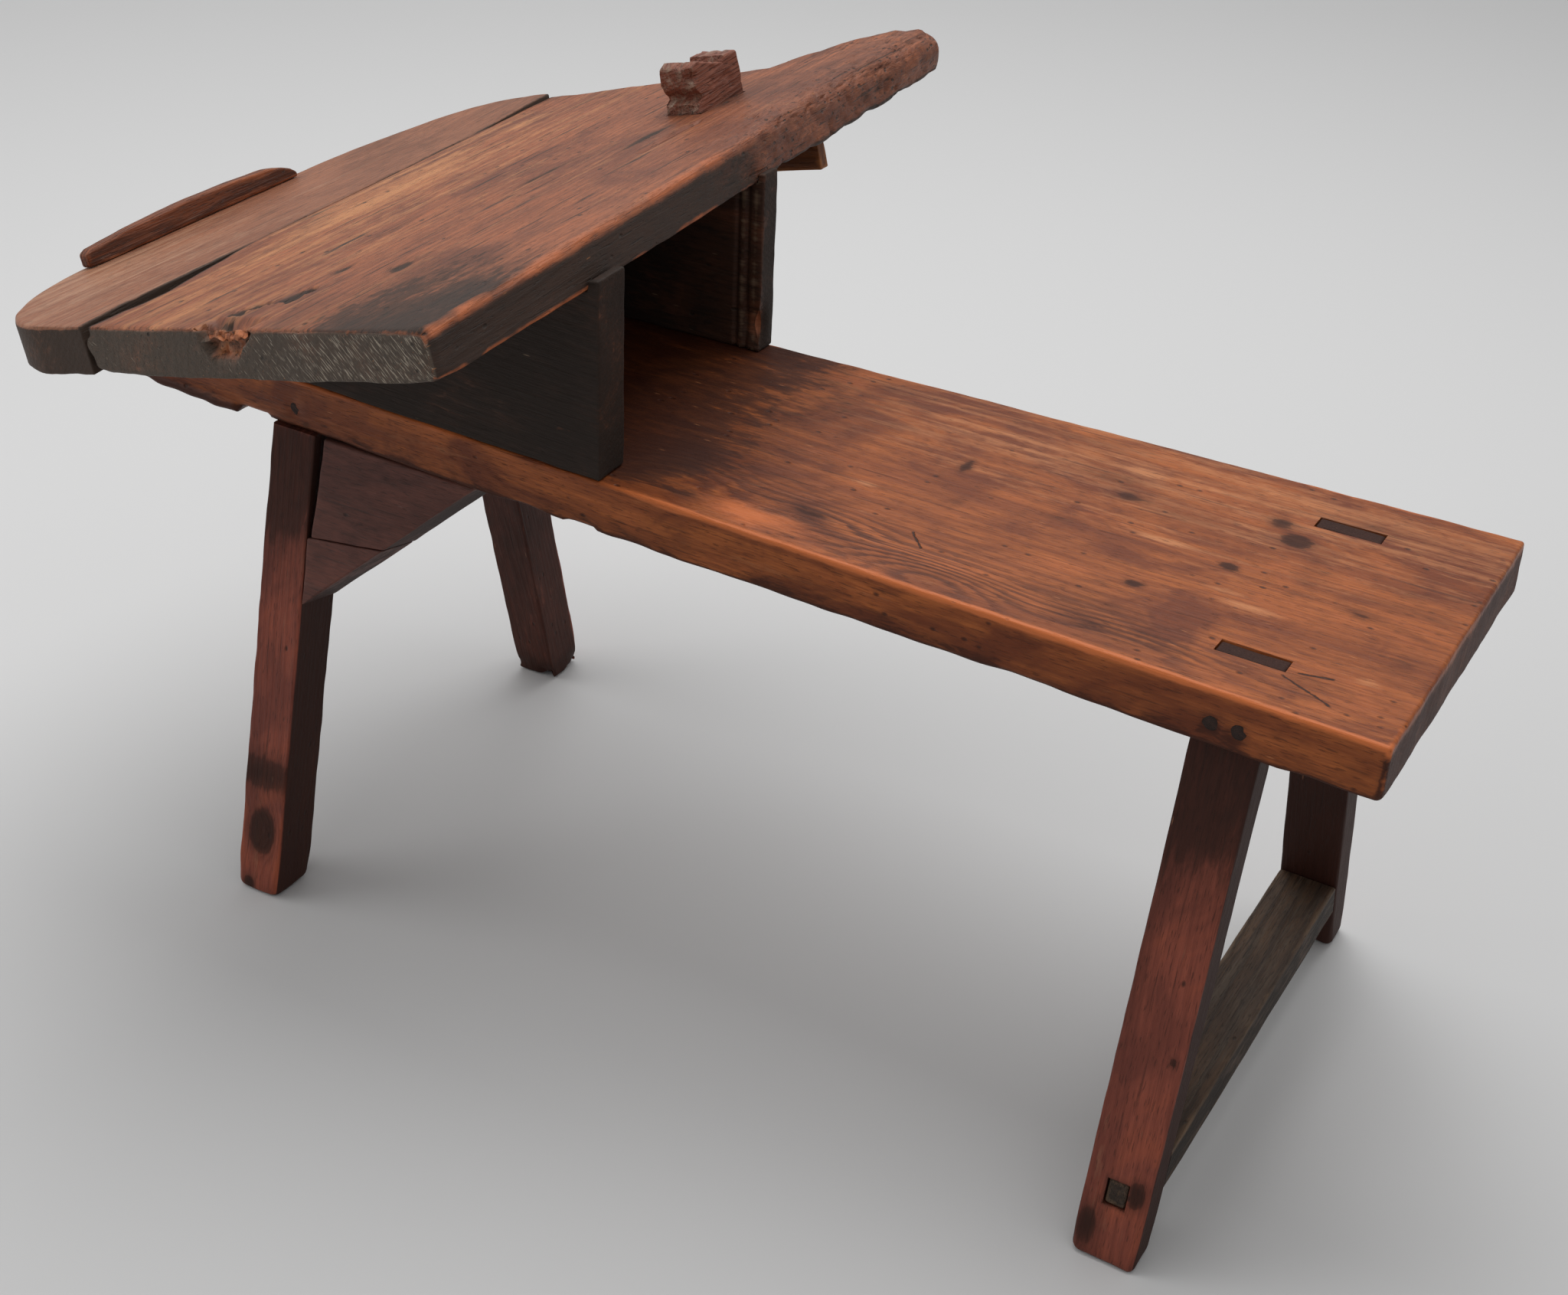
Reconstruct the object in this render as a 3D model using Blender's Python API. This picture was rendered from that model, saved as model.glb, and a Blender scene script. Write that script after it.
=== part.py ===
"""Cobbler's bench: a long seat plank on four splayed legs, with a sloping work top on two wedge supports.

The bench is laid out from the seat end: x is 0 there and runs negative along the plank to the low end,
y is 0 on the centre line (negative on the near side), z is 0 on the floor. The work top has a frame of its
own: u climbs the slope towards the seat, y runs across the bench, w stands square to the slope.
"""

import math

import bmesh
import bpy
from mathutils import Matrix, Vector

# Fits
GAP = 0.0003
FLUSH = 0.0005
ARRIS = 0.002

# Seat plank
SEAT_HEIGHT = 0.416
PLANK_LENGTH = 1.020
PLANK_WIDTH = 0.295
PLANK_TAPER = math.radians(1.69)
PLANK_THICK = 0.040
PLANK_ARRIS = 0.004

# Rotted hollow in the plank's lower near edge, beside the work leg
ROT_FROM_LEG = 0.005
ROT_LENGTH = 0.031
ROT_HEIGHT = 0.006
ROT_DEPTH = 0.014

# Seat legs: flat boards, through-tenoned into the plank
SEAT_LEG_FROM_END = 0.1045
SEAT_LEG_WIDTH = 0.046
SEAT_LEG_THICK = 0.030
SEAT_LEG_INSET = 0.0249
SEAT_LEG_SPLAY = math.radians(14.68)
SEAT_TENON_THICK = 0.014
SEAT_FOOT_ROUND = 0.008

# Work legs: square posts under the work top
WORK_LEG_FROM_END = 0.838
WORK_LEG_WIDTH = 0.040
WORK_LEG_THICK = 0.041
WORK_LEG_PROUD = 0.0025
WORK_LEG_SPLAY = math.radians(13.28)
WORK_TENON_THICK = 0.016
WORK_FOOT_ROUND = 0.012

# Stretcher between the seat legs
STRETCHER_WIDTH = 0.045
STRETCHER_BOTTOM = 0.044
STRETCHER_DEPTH = 0.029
STRETCHER_TENON_WIDTH = 0.015
STRETCHER_TENON_DEPTH = 0.018
STRETCHER_TENON_DROP = 0.001

# Pegs
PEG_RADIUS = 0.0055
PEG_SIDES = 14
PEG_BELOW_TOP = 0.0245
PEG_PAST_TENON = 0.008
SEAT_PEG_SPACING = 0.018
SEAT_PEG_SHIFT = 0.0035

# Knee braces beside the work legs, each sawn from two boards
BRACE_LENGTH = 0.146
BRACE_DROP = 0.130
BRACE_SPLIT = 0.0765
BRACE_SPLIT_RISE = 0.009
BRACE_GAP_TOP = 0.008
BRACE_GAP_FOOT = 0.0035

# Work top and the wedge supports that carry it
TOP_TILT = math.radians(14.1)
TOP_THICK = 0.034
SUPPORT_FROM_END = 0.562
SUPPORT_HEIGHT = 0.141
SUPPORT_LENGTH = 0.390
NEAR_SUPPORT_THICK = 0.032
FAR_SUPPORT_THICK = 0.020
FAR_SUPPORT_SETBACK = 0.016
BEAD_DEPTH = 0.003
BEAD_WIDTH = 0.004
BEAD_INSET = 0.005
CHIP_SIZE = 0.014
CHIP_RISE = 0.022
CHIP_BITE = 0.005

# Outline of the work top, on its slope
TOP_NEAR_END = 0.2985
TOP_NEAR_SKEW = 0.006
TOP_FAR_END = 0.2685
HIGH_EDGE_SKEW = 0.040
JOINT_KINK = 0.1275
WIDE_BOARD_FAR_WIDTH = 0.318
WIDE_BOARD_WIDTH = 0.313
WIDE_BOARD_NEAR_WIDTH = 0.288
FAR_END_SLANT = 0.058
NOSE_WIDTH = 0.093
NOSE_LENGTH = 0.112
NOSE_APEX = 0.024
NOSE_CORNER = 0.014
LOW_BOARD_WIDTH = 0.112
LOW_BOARD_NEAR_WIDTH = 0.038
JOINT_OPENING = 0.013
LOW_CORNER_LENGTH = 0.1355
LOW_FAR_CURVE = 0.1985
CURVE_STEPS = 7

# Lip on the low edge
LIP_START = 0.1745
LIP_LENGTH = 0.218
LIP_NEAR_HEIGHT = 0.012
LIP_CROWN_HEIGHT = 0.0175
LIP_FAR_HEIGHT = 0.012
LIP_THICK = 0.010
LIP_EDGE = 0.002

# Bench stop that slides in its mortise
STOP_FROM_HIGH_EDGE = 0.111
STOP_WIDTH = 0.032
STOP_NEAR_FACE = 0.183
STOP_LENGTH = 0.066
STOP_STEM = 0.028
STOP_FRONT_HEIGHT = 0.036
STOP_RIDGE_HEIGHT = 0.039
STOP_RIDGE = 0.008
STOP_DIP_HEIGHT = 0.029
STOP_DIP = 0.044
STOP_BACK_HEIGHT = 0.034
STOP_LEDGE = 0.008
STOP_HOOK = 0.010
STOP_UNDERCUT = 0.010
STOP_FIT = 0.0004

# Cleat nailed under the far end of the wide board
CLEAT_NEAR_FACE = 0.259
CLEAT_THICK = 0.011
CLEAT_DEPTH = 0.034
CLEAT_LENGTH = 0.190
CLEAT_SETBACK = 0.059

# Cut nails
NAIL_SHANK = 0.0045
NAIL_HEAD = 0.009
NAIL_HEAD_THICK = 0.002
TOP_NAIL_GRIP = 0.026
FOOT_NAIL_GRIP = 0.025
LIP_NAIL_GRIP = 0.018
CLEAT_NAIL_GRIP = 0.020
WIDE_NAIL_INSET = 0.050
WIDE_NAIL_SPACING = 0.170
LOW_NAIL_INSET = 0.030
FOOT_NAIL_INSET = 0.055
FOOT_NAIL_FROM_LEG = 0.051
LIP_NAIL_INSET = 0.030
CLEAT_NAIL_INSET = 0.035

# Colours
SEAT_BROWN = (0.25, 0.085, 0.030, 1.0)
LEG_BROWN = (0.12, 0.042, 0.026, 1.0)
RAIL_BROWN = (0.11, 0.070, 0.048, 1.0)
TOP_BROWN = (0.20, 0.095, 0.052, 1.0)
DARK_BROWN = (0.045, 0.028, 0.018, 1.0)
PEG_BROWN = (0.06, 0.030, 0.018, 1.0)
IRON_GREY = (0.05, 0.045, 0.042, 1.0)

# Worked out from the sizes above
PLANK_UNDER = SEAT_HEIGHT - PLANK_THICK
SLOPE = math.tan(TOP_TILT)
TOP_FAR_REACH = TOP_FAR_END + FAR_END_SLANT + NOSE_LENGTH
ROOT_OFFSET = Vector((PLANK_LENGTH / 2, (TOP_NEAR_END - TOP_FAR_REACH) / 2, 0.0))
NEAR = -1
FAR = 1
SIDE_NAMES = {NEAR: "near", FAR: "far"}
UPWARDS = Matrix.Rotation(math.pi, 4, "X")
LENGTHWAYS = Matrix.Rotation(math.pi / 2, 4, "Z")


def clear_scene():
    """Remove every object of the open scene."""
    for item in list(bpy.data.objects):
        bpy.data.objects.remove(item, do_unlink=True)


def wood(name, colour, roughness=0.55, metallic=0.0):
    """Return a plain Principled material."""
    material = bpy.data.materials.new(name)
    material.use_nodes = True
    shader = material.node_tree.nodes["Principled BSDF"]
    shader.inputs["Base Color"].default_value = colour
    shader.inputs["Roughness"].default_value = roughness
    shader.inputs["Metallic"].default_value = metallic
    return material


def empty(name, parent=None, matrix=None):
    """Add an empty that carries a group of pieces."""
    item = bpy.data.objects.new(name, None)
    bpy.context.scene.collection.objects.link(item)
    item.parent = parent
    if matrix is not None:
        item.matrix_basis = matrix
    return item


def between(ring_a, ring_b):
    """Return a bmesh of the solid between two outlines that have the same number of points."""
    mesh = bmesh.new()
    verts_a = [mesh.verts.new(point) for point in ring_a]
    verts_b = [mesh.verts.new(point) for point in ring_b]
    mesh.faces.new(verts_a)
    mesh.faces.new(list(reversed(verts_b)))
    count = len(verts_a)
    for index in range(count):
        after = (index + 1) % count
        mesh.faces.new((verts_a[index], verts_b[index], verts_b[after], verts_a[after]))
    bmesh.ops.recalc_face_normals(mesh, faces=mesh.faces)
    return mesh


def soften(mesh, size, chosen, segments=1):
    """Bevel the edges of a bmesh that pass the test."""
    edges = [edge for edge in mesh.edges if chosen(edge)]
    bmesh.ops.bevel(mesh, geom=edges, offset=size, segments=segments, profile=0.5,
                    affect="EDGES", clamp_overlap=True)
    return mesh


def add(name, mesh, parent, material):
    """Turn a bmesh into a named object under its parent."""
    data = bpy.data.meshes.new(name)
    mesh.to_mesh(data)
    mesh.free()
    item = bpy.data.objects.new(name, data)
    bpy.context.scene.collection.objects.link(item)
    item.parent = parent
    if material is not None:
        data.materials.append(material)
    return item


def cut(target, name, mesh, parent, operation="DIFFERENCE"):
    """Cut a tool shape out of an object, or join it on, with a live Boolean."""
    tool = add(target.name + "_" + name, mesh, parent, None)
    tool.hide_render = True
    tool.display_type = "WIRE"
    modifier = target.modifiers.new(name, "BOOLEAN")
    modifier.operation = operation
    modifier.solver = "EXACT"
    modifier.object = tool


def box(low, high):
    """Return a bmesh box between two corners."""
    ring = [(low[0], low[1]), (high[0], low[1]), (high[0], high[1]), (low[0], high[1])]
    return between([(x, y, low[2]) for x, y in ring], [(x, y, high[2]) for x, y in ring])


def rod(start, end, radius, sides=PEG_SIDES):
    """Return a bmesh of a round rod between two points on one axis."""
    start = Vector(start)
    end = Vector(end)
    turn = (end - start).to_track_quat("Z", "Y").to_matrix()
    ring = []
    for step in range(sides):
        angle = 2 * math.pi * (step + 0.5) / sides
        ring.append(turn @ Vector((radius * math.cos(angle), radius * math.sin(angle), 0.0)))
    return between([start + point for point in ring], [end + point for point in ring])


def quarter_ellipse(centre, from_axis, to_axis, steps=CURVE_STEPS):
    """Return points of a quarter ellipse that runs from one half axis to the other."""
    centre = Vector(centre)
    from_axis = Vector(from_axis)
    to_axis = Vector(to_axis)
    points = []
    for step in range(steps + 1):
        angle = math.pi / 2 * step / steps
        points.append(centre + from_axis * math.cos(angle) + to_axis * math.sin(angle))
    return points


def plank_edge(x):
    """Return the half width of the plank at x."""
    return PLANK_WIDTH / 2 + math.tan(PLANK_TAPER) * x


def underside(x):
    """Return the height of the work top's underside above the floor at x."""
    return SEAT_HEIGHT + SUPPORT_HEIGHT + (x + SUPPORT_FROM_END) * SLOPE


class Leg:
    """The sizes of one pair of splayed legs."""

    def __init__(self, name, from_end, width, thick, inset, splay, tenon, foot_round):
        self.name = name
        self.x_low = -from_end - width / 2
        self.x_high = -from_end + width / 2
        self.x_mid = -from_end
        self.thick = thick
        self.head = plank_edge(-from_end) - inset
        self.splay = splay
        self.tenon = tenon
        self.foot_round = foot_round

    def outer(self, z):
        """Return the distance from the centre line to the outer face at height z."""
        return self.head + math.tan(self.splay) * (PLANK_UNDER - z)

    def inner(self, z):
        """Return the distance from the centre line to the inner face at height z."""
        return self.outer(z) - self.thick

    def middle(self, z):
        """Return the distance from the centre line to the middle of the tenon at height z."""
        return self.outer(z) - self.thick / 2

    def profile(self, side):
        """Return the outline of leg and tenon, square to the bench's length."""
        shoulder = PLANK_UNDER - GAP
        top = SEAT_HEIGHT - FLUSH
        half = self.tenon / 2
        points = [
            (self.outer(0.0), 0.0),
            (self.outer(shoulder), shoulder),
            (self.middle(shoulder) + half, shoulder),
            (self.middle(top) + half, top),
            (self.middle(top) - half, top),
            (self.middle(shoulder) - half, shoulder),
            (self.inner(shoulder), shoulder),
            (self.inner(0.0), 0.0),
        ]
        return [(side * y, z) for y, z in points]

    def mortise(self, side):
        """Return the cutter of the tenon's mortise through the plank."""
        low = PLANK_UNDER - PLANK_THICK
        high = SEAT_HEIGHT + PLANK_THICK
        half = self.tenon / 2 + GAP
        points = [
            (self.middle(low) + half, low),
            (self.middle(high) + half, high),
            (self.middle(high) - half, high),
            (self.middle(low) - half, low),
        ]
        ring = [(side * y, z) for y, z in points]
        return between([(self.x_low - GAP, y, z) for y, z in ring], [(self.x_high + GAP, y, z) for y, z in ring])


SEAT_LEG = Leg("seat_leg", SEAT_LEG_FROM_END, SEAT_LEG_WIDTH, SEAT_LEG_THICK, SEAT_LEG_INSET,
               SEAT_LEG_SPLAY, SEAT_TENON_THICK, SEAT_FOOT_ROUND)
WORK_LEG = Leg("work_leg", WORK_LEG_FROM_END, WORK_LEG_WIDTH, WORK_LEG_THICK, -WORK_LEG_PROUD,
               WORK_LEG_SPLAY, WORK_TENON_THICK, WORK_FOOT_ROUND)


def peg_places(leg):
    """Return the x of each peg that pins the leg's tenon."""
    if leg is SEAT_LEG:
        middle = leg.x_mid + SEAT_PEG_SHIFT
        return [middle - SEAT_PEG_SPACING / 2, middle + SEAT_PEG_SPACING / 2]
    return [leg.x_mid]


def tenon_peg_ends(leg, side, x):
    """Return the outer and inner end of a peg that pins a leg's tenon."""
    z = SEAT_HEIGHT - PEG_BELOW_TOP
    depth = leg.middle(z) - leg.tenon / 2 - PEG_PAST_TENON
    return Vector((x, side * (plank_edge(x) - FLUSH), z)), Vector((x, side * depth, z))


def tenon_peg_hole(leg, side, x):
    """Return the cutter of a tenon peg's hole, open at the plank's edge."""
    outer, inner = tenon_peg_ends(leg, side, x)
    way_out = Vector((0.0, side * PLANK_THICK, 0.0))
    return rod(outer + way_out, inner - Vector((0.0, side * GAP, 0.0)), PEG_RADIUS + GAP)


def make_plank(root, material):
    """Build the seat plank with its mortises, peg holes and rotted hollow."""
    ends = [(0.0, 1), (0.0, -1), (-PLANK_LENGTH, -1), (-PLANK_LENGTH, 1)]
    ring = [(x, side * plank_edge(x)) for x, side in ends]
    mesh = between([(x, y, PLANK_UNDER) for x, y in ring], [(x, y, SEAT_HEIGHT) for x, y in ring])
    soften(mesh, PLANK_ARRIS, lambda edge: True, segments=2)
    plank = add("seat_plank", mesh, root, material)
    for leg in (SEAT_LEG, WORK_LEG):
        for side in (NEAR, FAR):
            cut(plank, "%s_%s_mortise" % (SIDE_NAMES[side], leg.name), leg.mortise(side), root)
            for index, x in enumerate(peg_places(leg)):
                name = "%s_%s_peg_hole_%d" % (SIDE_NAMES[side], leg.name, index + 1)
                cut(plank, name, tenon_peg_hole(leg, side, x), root)
    cut(plank, "rot", rot_hollow(), root)
    return plank


def rot_hollow():
    """Return the cutter of the rotted hollow along the lower near edge."""
    x_high = WORK_LEG.x_low - ROT_FROM_LEG
    rings = []
    for x in (x_high - ROT_LENGTH, x_high):
        edge = -plank_edge(x)
        rings.append([
            (x, edge - PLANK_THICK, PLANK_UNDER - PLANK_THICK),
            (x, edge + ROT_DEPTH, PLANK_UNDER - PLANK_THICK),
            (x, edge + ROT_DEPTH, PLANK_UNDER + ROT_HEIGHT / 2),
            (x, edge, PLANK_UNDER + ROT_HEIGHT),
            (x, edge - PLANK_THICK, PLANK_UNDER + ROT_HEIGHT),
        ])
    return between(rings[0], rings[1])


def make_leg(leg, side, root, material):
    """Build one leg with its tenon and the holes of its pegs."""
    ring = leg.profile(side)
    mesh = between([(leg.x_low, y, z) for y, z in ring], [(leg.x_high, y, z) for y, z in ring])

    def foot_corner(edge):
        return all(vert.co.z < GAP for vert in edge.verts) and abs(edge.verts[0].co.x - edge.verts[1].co.x) < GAP

    soften(mesh, leg.foot_round, foot_corner, segments=3)
    item = add("%s_%s" % (SIDE_NAMES[side], leg.name), mesh, root, material)
    for index, x in enumerate(peg_places(leg)):
        cut(item, "peg_hole_%d" % (index + 1), tenon_peg_hole(leg, side, x), root)
    return item


def make_tenon_pegs(leg, side, root, material):
    """Build the pegs that pin one leg's tenon in the plank."""
    for index, x in enumerate(peg_places(leg)):
        outer, inner = tenon_peg_ends(leg, side, x)
        name = "%s_%s_peg_%d" % (SIDE_NAMES[side], leg.name, index + 1)
        add(name, rod(outer, inner, PEG_RADIUS), root, material)


def stretcher_tenon(clearance, past):
    """Return the through-tenon bar of the stretcher, or its mortise when given a clearance."""
    low = STRETCHER_BOTTOM - STRETCHER_TENON_DROP - clearance
    high = low + STRETCHER_TENON_DEPTH + 2 * clearance
    half = STRETCHER_TENON_WIDTH / 2 + clearance
    ring = []
    for side, z in ((NEAR, low), (NEAR, high), (FAR, high), (FAR, low)):
        ring.append((side * (SEAT_LEG.outer(z) + past), z))
    x = SEAT_LEG.x_mid
    return between([(x - half, y, z) for y, z in ring], [(x + half, y, z) for y, z in ring])


def make_stretcher(root, legs, material):
    """Build the stretcher and the mortises that it takes in the seat legs."""
    low = STRETCHER_BOTTOM
    high = STRETCHER_BOTTOM + STRETCHER_DEPTH
    ring = []
    for side, z in ((NEAR, low), (NEAR, high), (FAR, high), (FAR, low)):
        ring.append((side * (SEAT_LEG.inner(z) - GAP), z))
    half = STRETCHER_WIDTH / 2
    x = SEAT_LEG.x_mid
    mesh = between([(x - half, y, z) for y, z in ring], [(x + half, y, z) for y, z in ring])
    soften(mesh, ARRIS, lambda edge: abs(edge.verts[0].co.y - edge.verts[1].co.y) > STRETCHER_WIDTH)
    rail = add("seat_leg_stretcher", mesh, root, material)
    cut(rail, "tenons", stretcher_tenon(0.0, -FLUSH), root, operation="UNION")
    for side in (NEAR, FAR):
        cut(legs[side], "stretcher_mortise", stretcher_tenon(GAP, SEAT_LEG_THICK), root)


def brace_point(side, x, z):
    """Return the outer and inner point of a brace, square through the splayed leg's face."""
    lean = WORK_LEG_SPLAY
    through = WORK_LEG_THICK * math.cos(lean)
    outer = Vector((x, side * WORK_LEG.outer(z), z))
    inner = outer + Vector((0.0, -side * math.cos(lean), -math.sin(lean))) * through
    return outer, inner


def brace_top_point(side, x, z):
    """Return the outer and inner point of a brace where it is cut level under the plank."""
    drop = WORK_LEG_THICK * math.cos(WORK_LEG_SPLAY) * math.sin(WORK_LEG_SPLAY)
    shift = drop * BRACE_LENGTH / BRACE_DROP
    outer = Vector((x, side * WORK_LEG.outer(z), z))
    inner = Vector((x, side * WORK_LEG.inner(z), z))
    return outer, inner, shift


def make_braces(side, root, material):
    """Build the two boards of the knee brace beside one work leg."""
    leg_face = WORK_LEG.x_high
    top = PLANK_UNDER - GAP
    low = top - BRACE_DROP
    split = top - BRACE_SPLIT
    steep = BRACE_DROP / BRACE_LENGTH

    def diagonal(z):
        return leg_face + GAP + (z - low) / steep

    split_end = split + BRACE_SPLIT_RISE
    tip = diagonal(top)
    outer_tip, inner_tip, shift = brace_top_point(side, tip, top)
    inner_tip.x += shift
    outer_corner, inner_corner, _ = brace_top_point(side, leg_face + BRACE_GAP_TOP, top)
    upper = [
        (outer_corner, inner_corner),
        (outer_tip, inner_tip),
        brace_point(side, diagonal(split_end), split_end),
        brace_point(side, leg_face + BRACE_GAP_FOOT, split),
    ]
    lower = [
        brace_point(side, leg_face + GAP, split - 2 * GAP),
        brace_point(side, diagonal(split_end) - 2 * GAP / steep, split_end - 2 * GAP),
        brace_point(side, leg_face + GAP, low),
    ]
    for name, pairs in (("upper", upper), ("lower", lower)):
        mesh = between([pair[0] for pair in pairs], [pair[1] for pair in pairs])
        add("%s_%s_brace" % (SIDE_NAMES[side], name), mesh, root, material)


def support_thick(side):
    """Return the thickness of the support on one side."""
    return NEAR_SUPPORT_THICK if side == NEAR else FAR_SUPPORT_THICK


def support_front(side):
    """Return the x of a support's end towards the seat."""
    return -SUPPORT_FROM_END - (FAR_SUPPORT_SETBACK if side == FAR else 0.0)


def make_support(side, root, material):
    """Build one wedge support, standing on the plank's edge under the work top."""
    front = support_front(side)
    back = -SUPPORT_FROM_END - SUPPORT_LENGTH
    foot = SEAT_HEIGHT + GAP
    ring = [(front, foot), (front, underside(front) - GAP), (back, underside(back) - GAP), (back, foot)]
    outer = [(x, side * plank_edge(x), z) for x, z in ring]
    inner = [(x, side * (plank_edge(x) - support_thick(side)), z) for x, z in ring]
    item = add("%s_support" % SIDE_NAMES[side], between(outer, inner), root, material)
    if side == FAR:
        cut(item, "bead", bead_groove(front), root)
        cut(item, "chip", corner_chip(front), root)
    return item


def bead_groove(front):
    """Return the cutter of the groove worked down the far support's front edge."""
    face = plank_edge(front) - FAR_SUPPORT_THICK
    low = (front - BEAD_DEPTH, face + BEAD_INSET, SEAT_HEIGHT - PLANK_THICK)
    high = (front + BEAD_DEPTH, face + BEAD_INSET + BEAD_WIDTH, underside(front) + TOP_THICK)
    return box(low, high)


def corner_chip(front):
    """Return the cutter of the broken lower corner of the far support."""
    face = plank_edge(front) - FAR_SUPPORT_THICK
    middle = SEAT_HEIGHT + CHIP_RISE
    ring = [(-CHIP_SIZE, 0.0), (0.0, -CHIP_SIZE), (CHIP_SIZE, 0.0), (0.0, CHIP_SIZE)]
    low = [(front + u, face - CHIP_SIZE, middle + v) for u, v in ring]
    high = [(front + u / 2, face + CHIP_BITE, middle + v / 2) for u, v in ring]
    return between(low, high)


def high_edge(y):
    """Return u of the work top's high edge at y."""
    share = (y + TOP_NEAR_END) / (TOP_NEAR_END + TOP_FAR_REACH)
    return -HIGH_EDGE_SKEW * share


def nose_root():
    """Return the corner where the nose leaves the slanted far end."""
    y = TOP_FAR_END + FAR_END_SLANT
    return Vector((high_edge(y) - NOSE_WIDTH, y))


def wide_outline():
    """Return the outline of the wide board on the slope."""
    root = nose_root()
    apex = root.x + NOSE_WIDTH - NOSE_APEX
    corner_y = TOP_FAR_REACH - NOSE_CORNER
    edge = high_edge(corner_y)
    left = quarter_ellipse((apex, root.y), (root.x - apex, 0.0), (0.0, NOSE_LENGTH))
    right = quarter_ellipse((apex, corner_y), (0.0, NOSE_CORNER), (edge - apex, 0.0))
    return [
        Vector((-WIDE_BOARD_NEAR_WIDTH, TOP_NEAR_SKEW - TOP_NEAR_END)),
        Vector((-WIDE_BOARD_WIDTH, -JOINT_KINK)),
        Vector((-WIDE_BOARD_FAR_WIDTH, TOP_FAR_END)),
        *left,
        *right[1:],
        Vector((0.0, -TOP_NEAR_END)),
    ]


def low_outline():
    """Return the outline of the narrow board along the low edge."""
    joint_far = -WIDE_BOARD_FAR_WIDTH - 2 * GAP
    joint_mid = -WIDE_BOARD_WIDTH - 2 * GAP
    joint_near = -WIDE_BOARD_NEAR_WIDTH - JOINT_OPENING
    near_y = TOP_NEAR_SKEW - TOP_NEAR_END
    low_edge = joint_mid - LOW_BOARD_WIDTH
    corner = joint_near - LOW_BOARD_NEAR_WIDTH
    curve_y = TOP_FAR_END - LOW_FAR_CURVE
    corner_y = near_y + LOW_CORNER_LENGTH
    far = quarter_ellipse((joint_far, curve_y), (low_edge - joint_far, 0.0), (0.0, LOW_FAR_CURVE))
    near = quarter_ellipse((corner, corner_y), (0.0, -LOW_CORNER_LENGTH), (low_edge - corner, 0.0))
    return [Vector((joint_near, near_y)), *near, *far, Vector((joint_mid, -JOINT_KINK))]


def raised(outline, low, high):
    """Return a bmesh of an outline on the slope, raised between two heights."""
    return between([(u, y, low) for u, y in outline], [(u, y, high) for u, y in outline])


def upper_rim(edge):
    """Say whether an edge lies on the top face of a work top board."""
    return all(vert.co.z > TOP_THICK - GAP for vert in edge.verts)


def make_top(top, materials):
    """Build the two boards, the lip, the cleat and the stop of the work top."""
    wide = add("wide_top_board", soften(raised(wide_outline(), 0.0, TOP_THICK), ARRIS, upper_rim), top,
               materials["top"])
    low = add("low_top_board", soften(raised(low_outline(), 0.0, TOP_THICK), ARRIS, upper_rim), top,
              materials["top"])
    lip = make_lip(top, materials["leg"])
    cleat = make_cleat(top, materials["leg"])
    make_stop(top, wide, materials["top"])
    return {"wide": wide, "low": low, "lip": lip, "cleat": cleat}


def lip_place():
    """Return the outer u of the lip and the y where it starts."""
    outer = -WIDE_BOARD_WIDTH - 2 * GAP - LOW_BOARD_WIDTH + LIP_EDGE + ARRIS
    return outer, -LIP_START


def lip_height(share):
    """Return the lip's height at a share of its length, on a parabola through its ends and its crown."""
    ends = LIP_NEAR_HEIGHT + (LIP_FAR_HEIGHT - LIP_NEAR_HEIGHT) * share
    rise = LIP_CROWN_HEIGHT - (LIP_NEAR_HEIGHT + LIP_FAR_HEIGHT) / 2
    return ends + 4 * rise * share * (1 - share)


def make_lip(top, material):
    """Build the lip strip, standing on the low edge with its top crowned along its length."""
    outer, start = lip_place()
    foot = TOP_THICK + GAP
    shares = [step / (2 * CURVE_STEPS) for step in range(2 * CURVE_STEPS + 1)]
    crown = [(start + LIP_LENGTH * share, foot + lip_height(share)) for share in shares]
    ring = [(start, foot), *crown, (start + LIP_LENGTH, foot)]
    mesh = between([(outer, y, w) for y, w in ring], [(outer + LIP_THICK, y, w) for y, w in ring])
    return add("lip", mesh, top, material)


def cleat_place():
    """Return the low and high u of the cleat."""
    high = -CLEAT_SETBACK
    return high - CLEAT_LENGTH, high


def make_cleat(top, material):
    """Build the cleat, a thin board on edge under the far end of the wide board."""
    u_low, u_high = cleat_place()
    far = CLEAT_NEAR_FACE + CLEAT_THICK
    mesh = box((u_low, CLEAT_NEAR_FACE, -GAP - CLEAT_DEPTH), (u_high, far, -GAP))
    soften(mesh, ARRIS, lambda edge: all(vert.co.z < -CLEAT_DEPTH / 2 for vert in edge.verts))
    return add("cleat", mesh, top, material)


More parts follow.
